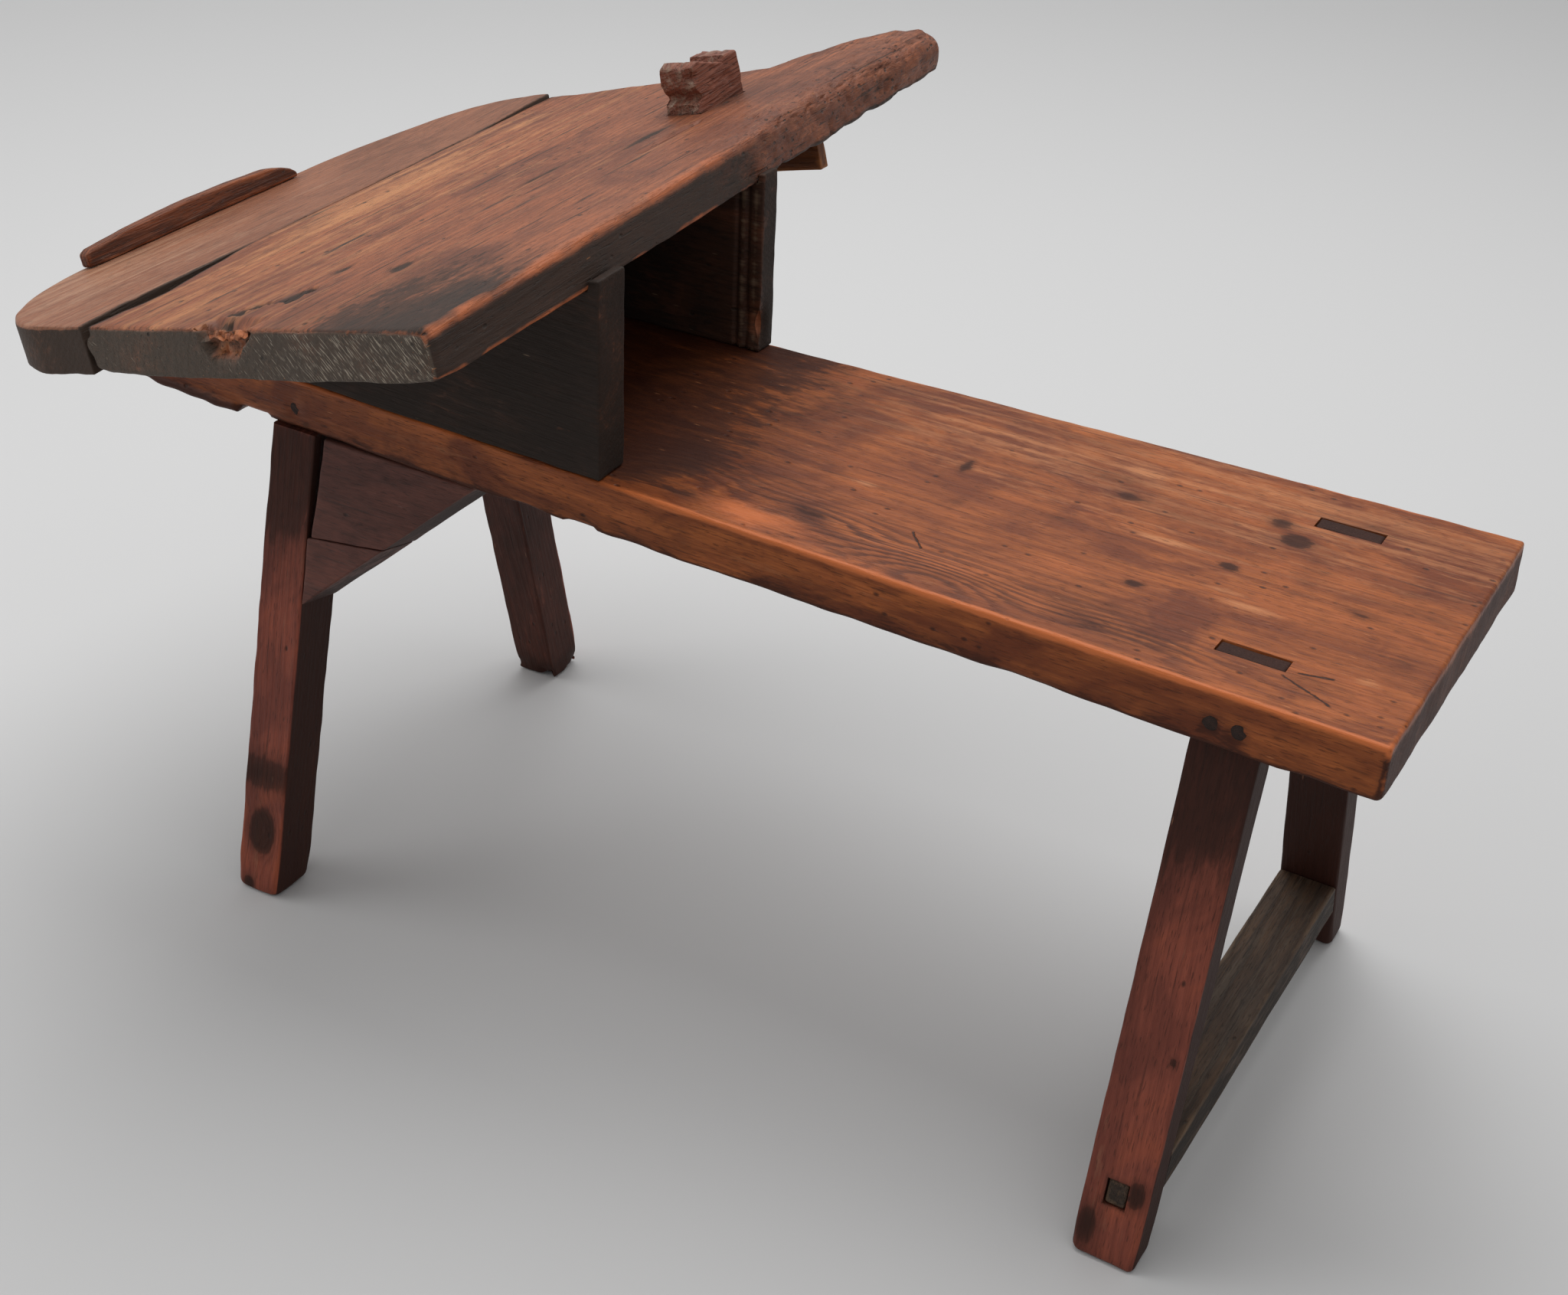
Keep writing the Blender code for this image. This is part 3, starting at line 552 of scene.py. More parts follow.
@dataclass(frozen=True)
class WoodFinish:
    """Old wood: growth rings, fibres and pores under wax, with worn arrises, bleached streaks, soiling and
    painted shade.
    """

    name: str
    early: Colour
    late: Colour
    deep: Colour
    worn: Colour
    pale: Colour
    # Dark colour of soiling, pores, cracks and pits, also used to paint shade
    dirt_and_shade: Colour
    curled: Colour = (0.07, 0.016, 0.006)
    ring_period: float = 0.0042
    ring_strength: float = 0.5
    blotch_strength: float = 0.5
    fibre_strength: float = 0.4
    band_strength: float = 0.5
    glow_strength: float = 0.3
    crack_strength: float = 0.4
    pit_share: float = 0.25
    fleck_strength: float = 0.5
    patchiness: float = 0.9
    gloss: float = 0.3
    roughness: float = 0.42
    relief: float = 0.5
    saw_marks: Optional[Colour] = None
    splits: tuple[tuple[Range, Range], ...] = ()

    def material(self) -> Material:
        """Wire the finish.

        Returns:
            The new material.
        """
        graph = Graph(self.name)
        grain = graph.mark("grain", "Vector")
        fibre = graph.noise(grain, (26, 700, 700), 3.0, 0.6)
        streak = graph.noise(grain, (4.5, 130, 130), 4.0, 0.65, 0.3)
        sweep = graph.noise(grain, (2.6, 34, 34), 4.0, 0.62, 0.5)
        blotch = graph.noise(grain, (10, 19, 19), 4.0, 0.62, 0.8)
        scuff = graph.noise(grain, (55, 210, 210), 3.0, 0.6, 0.5)
        pore = graph.curve(graph.noise(grain, (95, 1000, 1000), 1.0), ((0.62, 0.0), (0.7, 1.0)))
        crack = graph.curve(graph.noise(grain, (11, 330, 330)), ((0.64, 0.0), (0.7, 1.0)))
        turns = graph.times(graph.mark("figure"), 1 / self.ring_period)
        turns = graph.math("FRACT", graph.plus(turns, graph.times(graph.plus(streak, sweep), 1.8)))
        ring = graph.curve(turns, ((0.0, 0.1), (0.4, 0.0), (0.82, 1.0), (0.92, 0.9), (1.0, 0.1)))
        colour = self.body_colour(graph, (ring, streak, sweep, blotch, fibre))
        curl = graph.curve(turns, ((0.3, 0.0), (0.62, 0.8), (0.86, 1.0), (0.97, 0.0)))
        colour = graph.mix(graph.times(curl, graph.mark("curl")), colour, self.curled)
        colour = self.bleached(graph, colour, streak, scuff)
        colour = graph.mix(graph.times(pore, 0.5), colour, self.dirt_and_shade)
        colour = graph.mix(graph.times(crack, self.crack_strength), colour, self.dirt_and_shade)
        loose = graph.times(graph.math("SUBTRACT", graph.plus(scuff, blotch), 1.0), self.patchiness)
        # Soiling and painted shade: the pieces' mark holds both, and one dark colour paints them below
        soiled = graph.plus(graph.mark("grime"), loose)
        dirt_and_shade = graph.curve(soiled, ((0.16, 0.0), (0.5, 0.36), (0.62, 0.84), (0.84, 1.0)))
        colour = graph.mix(graph.times(dirt_and_shade, 0.92), colour, self.dirt_and_shade)
        if self.saw_marks is not None:
            colour = graph.mix(self.saw_cuts(graph, grain), colour, self.saw_marks)
        rubbed = graph.curve(graph.plus(graph.mark("wear"), loose), ((0.3, 0.0), (0.8, 0.9)))
        colour = graph.mix(rubbed, colour, self.worn)
        rot = graph.mark("rot")
        worm = graph.times(graph.pits(grain, (150, 210, 210), 0.34, 0.42), rot)
        pit = graph.math("MAXIMUM", graph.pits(grain, (55, 95, 95), 0.16, self.pit_share), worm)
        lump = graph.noise(grain, (80, 120, 120), 3.0, 0.6, 0.4)
        colour = graph.mix(graph.times(graph.curve(lump, ((0.34, 0.8), (0.5, 0.0))), rot), colour, self.late)
        colour = graph.mix(graph.times(pit, 0.8), colour, self.dirt_and_shade)
        sway = graph.times(graph.math("SUBTRACT", scuff, 0.5), 4.0)
        for start, end in self.splits:
            split = graph.split(grain, start, end, sway)
            colour = graph.mix(split, colour, self.dirt_and_shade)
            pit = graph.math("MAXIMUM", pit, split)
        fleck = graph.pits(grain, (60, 420, 420), 0.22, 0.12)
        colour = graph.mix(graph.times(fleck, self.fleck_strength), colour, self.pale)
        graph.dress(Specular_IOR_Level=self.gloss, Base_Color=colour)
        self.surface(graph, dirt_and_shade, (
            (fibre, 0.6), (ring, 0.3), (pore, -0.5), (pit, -1.6), (streak, 0.8), (scuff, 0.7),
            (crack, -self.crack_strength), (graph.times(lump, rot), 3.5),
        ))
        return graph.material

    def body_colour(self, graph: Graph, layers: Sequence[Socket]) -> Socket:
        """Colour of the sound wood: late wood lines, deep and glowing patches, bands and dark fibres."""
        ring, streak, sweep, blotch, fibre = layers
        colour = graph.mix(graph.times(ring, self.ring_strength), self.early, self.late)
        for layer, low, high, strength, tone in (
            (blotch, 0.48, 0.63, self.blotch_strength, self.deep),
            (blotch, 0.47, 0.34, self.glow_strength, self.worn),
            (sweep, 0.46, 0.64, self.band_strength, self.deep),
            (streak, 0.44, 0.66, 0.6 * self.ring_strength, self.late),
            (fibre, 0.58, 0.36, self.fibre_strength, self.late),
        ):
            colour = graph.mix(graph.curve(layer, sorted(((low, 0.0), (high, strength)))), colour, tone)
        return colour

    def bleached(self, graph: Graph, colour: Socket, streak: Socket, scuff: Socket) -> Socket:
        """Lay pale streaks where the wood is bleached."""
        broken = graph.times(graph.math("SUBTRACT", streak, 0.5), 2.2)
        broken = graph.plus(broken, graph.math("SUBTRACT", scuff, 0.5))
        level = graph.curve(graph.plus(graph.mark("bleach"), broken), ((0.3, 0.0), (1.0, 0.85)))
        return graph.mix(level, colour, self.pale)

    @staticmethod
    def saw_cuts(graph: Graph, grain: Socket) -> Socket:
        """Slanting cuts of a saw, where the wood is marked as sawn."""
        sawn = graph.mark("sawn")
        cuts = graph.noise(grain, (60, 1100, 105), 2.0, 0.6, turn=math.radians(33))
        cuts = graph.curve(graph.plus(cuts, graph.times(sawn, 0.25)), ((0.8, 0.15), (0.88, 1.0)))
        return graph.times(cuts, graph.curve(sawn, ((0.05, 0.0), (0.35, 1.0))))

    def surface(self, graph: Graph, dirt_and_shade: Socket, layers: Sequence[tuple[Socket, float]]) -> None:
        """Set gloss and bump: the layers' heights summed, dry where soiled and where shade is painted, dull
        where the fibres stand up.
        """
        rough = graph.plus(graph.times(layers[0][0], 0.2), self.roughness - 0.12)
        graph.dress(Roughness=graph.plus(rough, graph.times(dirt_and_shade, 0.18), clamp=True))
        height = 0.0
        for layer, level in layers:
            height = graph.plus(graph.times(layer, level), height)
        graph.bump(height, self.relief, 0.0009)


@dataclass(frozen=True)
class IronFinish:
    """Hand-cut iron, dark and rusted."""

    name: str
    iron: Colour
    rust: Colour
    cell: float = 260.0

    def material(self) -> Material:
        """Wire the finish: rust in patches over dark iron.

        Returns:
            The new material.
        """
        graph = Graph(self.name)
        place = graph.node("ShaderNodeTexCoord", {}).outputs["Object"]
        patch = graph.noise(place, (self.cell,) * 3, 5.0, 0.65)
        rusted = graph.curve(patch, ((0.4, 0.0), (0.62, 1.0)))
        graph.dress(Base_Color=graph.mix(rusted, self.iron, self.rust),
                    Metallic=graph.curve(patch, ((0.4, 0.8), (0.62, 0.0))),
                    Roughness=graph.curve(patch, ((0.35, 0.45), (0.65, 0.9))))
        graph.bump(patch, 0.6, 0.0005)
        return graph.material


@dataclass(frozen=True)
class Knot:
    """A knot or swirl that swells the rings round its place."""

    along: float
    across: float
    length: float
    width: float
    swell: float


@dataclass(frozen=True)
class Rings:
    """Growth rings round a pith line that lies beside or under the board."""

    pith_across: float
    pith_depth: float
    climb: float = 0.0
    wander: float = 0.004
    seed: int = 1
    knots: tuple[Knot, ...] = ()

    def distance(self, grain: Array) -> Array:
        """Distance from the pith line, with slow wander and a bell-shaped swelling round each knot.

        Args:
            grain: Along, across and through coordinates, one row per vertex.

        Returns:
            Metres from the pith for each vertex.
        """
        along, across, through = grain.T
        sway = self.wander * noise(grain, (0.28, 0.1, 0.1), self.seed, 2)
        radius = np.hypot(across - self.pith_across + sway, through - self.pith_depth - self.climb * along)
        for knot in self.knots:
            bell = blot(along, across, (knot.along, knot.across), (knot.length, knot.width))
            radius += knot.swell * bell
        return radius


@dataclass(frozen=True)
class Spot:
    """Where the vertices of one piece lie on it, as whole arrays."""

    grain: Array
    low: Array
    high: Array

    def by_low(self, axis: int, reach: float, full: float = 0.0) -> Array:
        """Return 1 up to a full distance from an axis's low face, falling to 0 at a reach."""
        return smooth(self.low[:, axis], reach, full)

    def by_high(self, axis: int, reach: float, full: float = 0.0) -> Array:
        """Return 1 up to a full distance from an axis's high face, falling to 0 at a reach."""
        return smooth(self.high[:, axis], reach, full)

    def noise(self, cell: Floats, seed: int) -> Array:
        """Noise of two octaves in the wood."""
        return noise(self.grain, cell, seed, 2)

    def patchy(self, level: float, swing: float, cell: Floats, seed: int) -> Array:
        """Noise in the wood round a level, held between 0 and 1."""
        return held(level + swing * self.noise(cell, seed))

    @property
    def arris(self) -> Array:
        """Distance to the nearest arris: the second smallest distance to the six faces."""
        return np.sort(np.concatenate((self.low, self.high), axis=1), axis=1)[:, 1]


@dataclass
class WoodPiece:
    """A worn wooden piece; each kind of piece says how its block is sized, placed, worn and marked."""

    name: str
    finish: Material
    slot: Slot
    rings: Rings
    body: Body = Body.BENCH
    radius: float = 0.002
    ragged: float = 0.5
    sway: float = 0.0003
    nail_cover: float = 0.0004
    worn: float = 0.6
    soiled: float = 0.1
    seed: int = 1

    def lines(self) -> Lines:
        """Lattice lines along, across and through the block."""
        raise NotImplementedError

    def size(self, unit: Array) -> Array:
        """Length, width and thickness of the block at each vertex."""
        raise NotImplementedError

    def place(self, unit: Array) -> Array:
        """Carry shares of the block into the bench frame."""
        raise NotImplementedError

    def mortises(self) -> tuple[Mortise, ...]:
        """Holes through the block; plain blocks have none."""
        return ()

    def grain(self, unit: Array, points: Array) -> Array:
        """Coordinates along, across and through the wood; by default the block's own."""
        return unit * self.size(unit)

    def arris_radius(self, spot: Spot) -> Array:
        """Radius of the arrises: the plain one, made uneven by noise along the block."""
        uneven = spot.noise((0.022, 0.02, 0.02), self.seed + 5)
        return self.radius * np.clip(1.0 + self.ragged * uneven, 0.35, 3.0)

    def relief(self, spot: Spot) -> Array:
        """Outward move of the skin: slow hollows along the grain with small dents."""
        slow = spot.noise((0.14, 0.035, 0.05), self.seed)
        small = spot.noise((0.018, 0.008, 0.01), self.seed + 9)
        return np.maximum(self.sway * (slow + 0.35 * small), -self.nail_cover)

    def marks(self, spot: Spot) -> Marks:
        """Wear on the arrises, even soiling and no bleaching."""
        uneven = spot.noise((0.05, 0.02, 0.02), self.seed + 3)
        wear = self.worn * ridge(spot.arris, 0.0, 0.0042) * held(0.8 + 0.5 * uneven)
        even = np.full(len(wear), self.soiled)
        return {"wear": wear, "grime": even, "bleach": np.zeros(len(wear))}

    def build(self) -> None:
        """Lay out the block, round it, wear it and put the piece in the scene."""
        unit, quads = block_lattice(self.lines(), self.mortises())
        size = self.size(unit)
        grain = self.grain(unit, self.place(unit))
        spot = Spot(grain, unit * size, (1 - unit) * size)
        points = self.place(rounded(unit, size, self.arris_radius(spot)))
        quads = turned_out(points, quads)
        points = points + skin_normals(points, quads) * self.relief(spot)[:, None]
        points[:, 2] = np.maximum(points[:, 2], 0.0)
        marks = {**self.marks(spot), "grain": grain, "figure": self.rings.distance(grain)}
        put_piece(self.name, points, quads, marks, self.finish, self.body)


@dataclass(frozen=True)
class LegPair:
    """Sizes of one pair of splayed legs."""

    from_end: float
    width: float
    thick: float
    foot_out: float
    slope: float
    tenon: float

    def outer(self, z: Length) -> Length:
        """Distance from the centre line to the outer face at height z."""
        return self.foot_out - self.slope * z

    def middle(self, z: Length) -> Length:
        """Distance from the centre line to the middle of the tenon at height z."""
        return self.outer(z) - self.thick / 2


SEAT_LEGS = LegPair(0.1045, 0.046, 0.03, 0.218, 0.262, 0.014)
WORK_LEGS = LegPair(0.838, 0.04, 0.041, 0.214, 0.236, 0.016)


@dataclass
class SeatPlank(WoodPiece):
    """The seat plank: a tapering plank with four slanted mortises and a gnawed lower edge."""

    tenon_cells: int = 4
    slant_cells: int = 3
    seat_cells: tuple[int, int] = (0, 4)
    work_cells: tuple[int, int] = (4, 10)

    def tenon_shares(self) -> Array:
        """Shares of the half width at which the slanted mortises have lattice lines, inner to outer."""
        half = SEAT_LEGS.tenon / 2 + GAP
        cell = 2 * half / self.tenon_cells
        count = self.work_cells[1] + self.slant_cells + 1
        out = SEAT_LEGS.middle(SEAT_HEIGHT) - half + cell * np.arange(count)
        return out / plank_edge(-SEAT_LEGS.from_end)

    def leg_span(self, legs: LegPair) -> list[float]:
        """Distances from the low end at which a pair's mortises begin and end."""
        half = legs.width / 2 + GAP
        return [PLANK_LENGTH - legs.from_end + way * half for way in (-1, 1)]

    def pairs(self) -> tuple[tuple[LegPair, tuple[int, int]], ...]:
        """Both pairs of legs with the first and last line of their mortises on the seat."""
        return ((SEAT_LEGS, self.seat_cells), (WORK_LEGS, self.work_cells))

    def lines(self) -> Lines:
        """Lattice lines, with lines on the borders of the mortises."""
        ends = [end for legs, _ in self.pairs() for end in self.leg_span(legs)]
        out = self.tenon_shares()
        sides = PLANK_HALF_WIDTH * np.concatenate((1 + out, 1 - out))
        return (shares(PLANK_LENGTH, 0.0042, ends), shares(2 * PLANK_HALF_WIDTH, 0.0031, sides),
                shares(PLANK_THICK, 0.0045))

    def mortises(self) -> tuple[Mortise, ...]:
        """One slanted mortise for each leg."""
        holes = []
        out = self.tenon_shares()
        for legs, (first, last) in self.pairs():
            along = tuple(end / PLANK_LENGTH for end in self.leg_span(legs))
            upper, lower = out[[first, last]], out[[first + self.slant_cells, last + self.slant_cells]]
            for sign in (-1, 1):
                high = sorted((1 + sign * upper) / 2)
                low = sorted((1 + sign * lower) / 2)
                holes.append(Mortise(along, tuple(high), tuple(low)))
        return tuple(holes)

    def size(self, unit: Array) -> Array:
        """Full length and thickness; the width narrows towards the low end."""
        width = 2 * plank_edge((unit[:, 0] - 1) * PLANK_LENGTH)
        return columns(PLANK_LENGTH, width, PLANK_THICK)

    def place(self, unit: Array) -> Array:
        """x along, y across the taper, z through."""
        x = (unit[:, 0] - 1) * PLANK_LENGTH
        return columns(x, (2 * unit[:, 1] - 1) * plank_edge(x), PLANK_UNDER + unit[:, 2] * PLANK_THICK)

    def grain(self, unit: Array, points: Array) -> Array:
        """Bench x and y, and height above the underside."""
        return points - np.array((0.0, 0.0, PLANK_UNDER))

    def arris_radius(self, spot: Spot) -> Array:
        """Rubbed upper arrises, a gnawed lower near one with a bite out of it."""
        radius = super().arris_radius(spot)
        x = spot.grain[:, 0]
        lower_near = spot.by_low(1, 0.012, 0.004) * spot.by_low(2, 0.012, 0.004)
        gnawed = spot.patchy(0.0, 1.0, (0.045, 0.05, 0.05), 71)
        bite = band(x, -0.589, -0.567, 0.003)
        return radius + lower_near * (0.0045 * gnawed + 0.005 * bite)

    def from_peg(self, spot: Spot, peg: float) -> Array:
        """Distance from the axis of a peg at this x."""
        return np.hypot(spot.grain[:, 0] - peg, spot.grain[:, 2] + PLANK_UNDER - PEG_HEIGHT)

    def relief(self, spot: Spot) -> Array:
        """Slow hollows, peg sockets, a hanging splinter and a rotted hollow under the tail."""
        x = spot.grain[:, 0]
        move = super().relief(spot)
        near_face = spot.by_low(1, 0.002)
        far_face = spot.by_high(1, 0.002)
        for peg in (*SEAT_PEGS, WORK_PEG):
            socket = smooth(self.from_peg(spot, peg), 0.0075, 0.0055)
            move -= 0.0012 * socket * (near_face + far_face)
        under = spot.by_low(2, 0.006) * spot.by_low(1, 0.055, 0.015)
        tongue = band(x, -0.995, -0.897, 0.006) * (1.0 + 0.6 * spot.noise((0.03, 0.02, 0.02), 77))
        hollow = band(x, -0.89, -0.866, 0.004)
        return move + under * (0.0032 * tongue - 0.0045 * hollow)

    def marks(self, spot: Spot) -> Marks:
        """Painted shade on end, sides and underside; dark tail, part soil, part painted shade; stains and
        knots; rubbed near arris, partly a painted highlight.
        """
        marks = super().marks(spot)
        x, y, z = spot.grain.T
        top = spot.by_high(2, 0.01)
        near = spot.by_low(1, 0.006) * (1 - top)
        # Painted shade: the underside, the near face (more so towards its bottom), the end and the far face
        # are darkened
        grime = 0.55 * spot.by_low(2, 0.004) + near * (0.24 + 0.3 * smooth(z, 0.02, 0.0))
        grime += 0.8 * spot.by_high(0, 0.006) * (1 - top)
        grime += 0.55 * spot.by_high(1, 0.006) * (1 - top)
        # Towards the work top the top is darkened, partly soiling and partly painted shade under the work top
        grime += top * 0.78 * smooth(x, -0.36, -0.6) * smooth(y, -0.125, -0.06)
        grime += top * blots(x, y, SEAT_STAINS)
        marks["curl"] = np.clip(top * blots(x, y, SEAT_CURLS), 0.0, 0.9)
        for peg in SEAT_PEGS:
            grime += 0.25 * near * smooth(self.from_peg(spot, peg), 0.01, 0.006)
        bleach = 0.45 * top * smooth(y, -0.04, 0.1) * smooth(x, -0.62, -0.4)
        bleach += top * blots(x, y, SEAT_SCRAPES)
        # The near arris's pale rim is partly rubbed wear and partly a painted highlight on the rounded arris
        rim = smooth(spot.arris, 0.006, 0.001) * spot.by_low(1, 0.01) * smooth(z, 0.03, 0.037)
        glow = top * blots(x, y, SEAT_GLOWS)
        marks["wear"] = held(marks["wear"] + 0.6 * rim * smooth(x, -0.58, -0.5) + glow)
        marks["wear"] *= 1 - 0.7 * smooth(z, 0.012, 0.004)
        marks["wear"] *= 1 - 0.75 * spot.by_high(0, 0.014, 0.006) * smooth(y, -0.125, -0.105)
        marks["grime"] = held(grime)
        marks["bleach"] = held(bleach)
        return marks


# Pegs that pin the tenons: x of the seat leg pegs and the work leg peg, and their height
SEAT_PEGS = (-0.11, -0.092)
WORK_PEG = -0.838
PEG_HEIGHT = SEAT_HEIGHT - 0.0245
PEG_RADIUS = 0.0055

# Stains and scrapes on the seat: place (x, y), radii, strength
SEAT_STAINS = (
    ((-0.131, 0.06), (0.01, 0.009), 1.4),
    ((-0.148, 0.078), (0.01, 0.008), 0.95),
    ((-0.157, 0.002), (0.008, 0.006), 1.2),
    ((-0.363, 0.033), (0.005, 0.012), 0.9),
    ((-0.201, -0.053), (0.007, 0.004), 1.2),
    ((-0.064, -0.011), (0.02, 0.009), 0.62),
    ((-0.313, -0.112), (0.034, 0.01), 0.48),
    ((-0.418, -0.086), (0.022, 0.008), 0.58),
    ((-0.505, -0.112), (0.024, 0.008), 0.5),
    ((-0.545, -0.08), (0.03, 0.036), 0.5),
    ((-0.562, -0.115), (0.03, 0.022), 0.6),
    ((-0.17, -0.118), (0.06, 0.012), 0.42),
    ((-0.11, 0.02), (0.014, 0.04), 0.44),
    ((-0.27, 0.075), (0.03, 0.01), 0.48),
    ((-0.25, 0.055), (0.012, 0.006), 0.6),
    ((-0.345, -0.02), (0.006, 0.014), 0.5),
    ((-0.28, 0.0), (0.012, 0.005), 0.52),
    ((-0.06, -0.1), (0.03, 0.02), 0.42),
    ((-0.04, 0.02), (0.03, 0.02), 0.4),
    ((-0.23, -0.095), (0.07, 0.028), 0.42),
    ((-0.09, 0.105), (0.05, 0.014), 0.4),
    ((-0.215, 0.05), (0.045, 0.014), 0.38),
    ((-0.02, -0.05), (0.016, 0.05), 0.38),
    ((-0.31, 0.118), (0.09, 0.01), 0.4),
)
# Cracks in the seat, from end to end
SEAT_CRACKS = (
    ((-0.083, -0.105), (-0.044, -0.1245)),
    ((-0.075, -0.098), (-0.052, -0.094)),
    ((-0.352, -0.072), (-0.336, -0.09)),
)
# Rubbed, glowing places on the seat: place, radii, strength
SEAT_GLOWS = (
    ((-0.45, -0.112), (0.046, 0.016), 0.8),
    ((-0.36, -0.128), (0.05, 0.01), 0.42),
    ((-0.24, 0.02), (0.06, 0.016), 0.3),
    ((-0.03, -0.118), (0.022, 0.01), 0.45),
)
# Where the seat's figure curls into dark lines: place, radii, strength
SEAT_CURLS = (
    ((-0.33, -0.108), (0.085, 0.03), 0.85),
    ((-0.425, -0.09), (0.055, 0.026), 0.75),
    ((-0.52, -0.08), (0.05, 0.04), 0.6),
    ((-0.175, -0.114), (0.08, 0.024), 0.65),
)
SEAT_SCRAPES = (
    ((-0.128, -0.042), (0.02, 0.005), 0.95),
    ((-0.15, -0.03), (0.016, 0.004), 0.8),
    ((-0.253, 0.094), (0.012, 0.004), 1.0),
    ((-0.034, -0.085), (0.01, 0.005), 1.0),
    ((-0.205, 0.01), (0.016, 0.004), 0.85),
    ((-0.41, -0.03), (0.007, 0.004), 0.85),
)


@dataclass
class Leg(WoodPiece):
    """One splayed leg: a plain post that steps in to a tenon at the plank."""

    side: Side = Side.NEAR
    pair: LegPair = SEAT_LEGS
    foot_radius: float = 0.007
    foot_chip: float = 0.0
    shaded: float = 0.85
    orange_foot: bool = False
    rail_mortise: bool = False
    step: float = 0.0003
    height: float = SEAT_HEIGHT - FLUSH

    def lines(self) -> Lines:
        """Lattice lines, close together at the shoulder and round a rail mortise."""
        shoulder = PLANK_UNDER - GAP
        levels = [shoulder, shoulder + self.step]
        widths = []
        if self.rail_mortise:
            levels += list(RAIL_TENON_LEVELS)
            widths = [self.pair.width / 2 - RAIL_TENON_HALF, self.pair.width / 2 + RAIL_TENON_HALF]
        return (shares(self.height, 0.003, levels), shares(self.pair.width, 0.0025, widths),
                shares(self.pair.thick, 0.003))

    def mortises(self) -> tuple[Mortise, ...]:
        """The rail's mortise, where the leg has one."""
        if not self.rail_mortise:
            return ()
        along = tuple(level / self.height for level in RAIL_TENON_LEVELS)
        across = tuple(0.5 + way * RAIL_TENON_HALF / self.pair.width for way in (-1, 1))
        return (Mortise(along, across, across),)

    def depth(self, z: Array) -> Array:
        """Thickness of the post or of its tenon at height z."""
        return np.where(z > PLANK_UNDER - GAP + self.step / 2, self.pair.tenon, self.pair.thick)

    def size(self, unit: Array) -> Array:
        """Height, width, and thickness of post or tenon."""
        z = unit[:, 0] * self.height
        return columns(self.height, self.pair.width, self.depth(z))

    def place(self, unit: Array) -> Array:
        """z along, x across, y through from the inner to the outer face, leaning with the splay."""
        z = unit[:, 0] * self.height
        x = -self.pair.from_end + (unit[:, 1] - 0.5) * self.pair.width
        y = self.pair.middle(z) + (unit[:, 2] - 0.5) * self.depth(np.round(unit[:, 0] * self.height, 5))
        return columns(x, self.side.value * y, z)

    def grain(self, unit: Array, points: Array) -> Array:
        """Height, place across and place through, from the outer face inwards."""
        across, depth = (unit[:, 1] - 0.5) * self.pair.width, (1 - unit[:, 2]) * self.pair.thick
        return columns(unit[:, 0] * self.height, across, depth)

    def arris_radius(self, spot: Spot) -> Array:
        """Plain arrises, rounder at the foot."""
        return super().arris_radius(spot) + self.foot_radius * smooth(spot.grain[:, 0], 0.035, 0.0)

    def marks(self, spot: Spot) -> Marks:
        """Painted shade on the side faces and under the plank, a dark head, a reddish outer face, dark stains
        low down.
        """
        marks = super().marks(spot)
        z, x, depth = spot.grain.T
        outer = smooth(depth, 0.003, 0.0)
        # Painted shade: all faces but the outer one darken by the shaded level (the head's dark end grain
        # rides on it too), and a band of painted shade darkens the leg under the plank
        grime = (1 - outer) * self.shaded + 0.66 * smooth(z, 0.2, 0.34) * smooth(z, 0.39, 0.37)
        grime += 0.3 * smooth(z, 0.03, 0.0)
        grime += outer * blots(z, x, LEG_STAINS.get(self.name, ()))
        marks["grime"] = held(grime + self.soiled)
        marks["bleach"] = outer * 0.25 * spot.patchy(0.0, 1.0, (0.2, 0.012, 0.02), self.seed + 11)
        marks["bleach"] = marks["bleach"] + 0.3 * spot.by_high(0, 0.004)
        if self.rail_mortise:
            rim = np.maximum(np.abs(z - np.mean(RAIL_TENON_LEVELS)) - 0.009, np.abs(x) - RAIL_TENON_HALF)
            marks["grime"] = np.maximum(marks["grime"], 0.6 * outer * smooth(rim, 0.004, 0.0005))
        glow = 0.42 * outer * smooth(z, 0.09, 0.06) * (1 - grime) if self.orange_foot else 0.0
        marks["wear"] = (marks["wear"] + glow) * smooth(z, PLANK_UNDER - GAP, PLANK_UNDER - 0.006)
        return marks

    def relief(self, spot: Spot) -> Array:
        """Slow hollows, and bites out of a chipped foot."""
        bites = spot.patchy(0.15, 1.0, (0.014, 0.012, 0.012), self.seed + 13)
        return super().relief(spot) - self.foot_chip * bites * smooth(spot.grain[:, 0], 0.02, 0.004)


# Stains on the legs' outer faces: place (z, x across), radii, strength
LEG_STAINS = {
    "near_work_leg_wood": (
        ((0.053, 0.001), (0.018, 0.0125), 1.6),
        ((0.054, 0.002), (0.008, 0.005), -0.85),
        ((0.007, -0.008), (0.006, 0.005), 0.8),
        ((0.102, 0.0), (0.021, 0.06), 0.76),
    ),
    "near_seat_leg_wood": (
        ((0.056, 0.0138), (0.012, 0.007), 1.0),
        ((0.026, -0.0147), (0.016, 0.009), 0.75),
        ((0.155, 0.016), (0.004, 0.003), 0.7),
        ((0.2, -0.02), (0.05, 0.008), 0.35),
    ),
}

# Through-tenon of the rail: heights of its mortise and half its width
RAIL_TENON_LEVELS = (0.0425, 0.0615)
RAIL_TENON_HALF = 0.0079


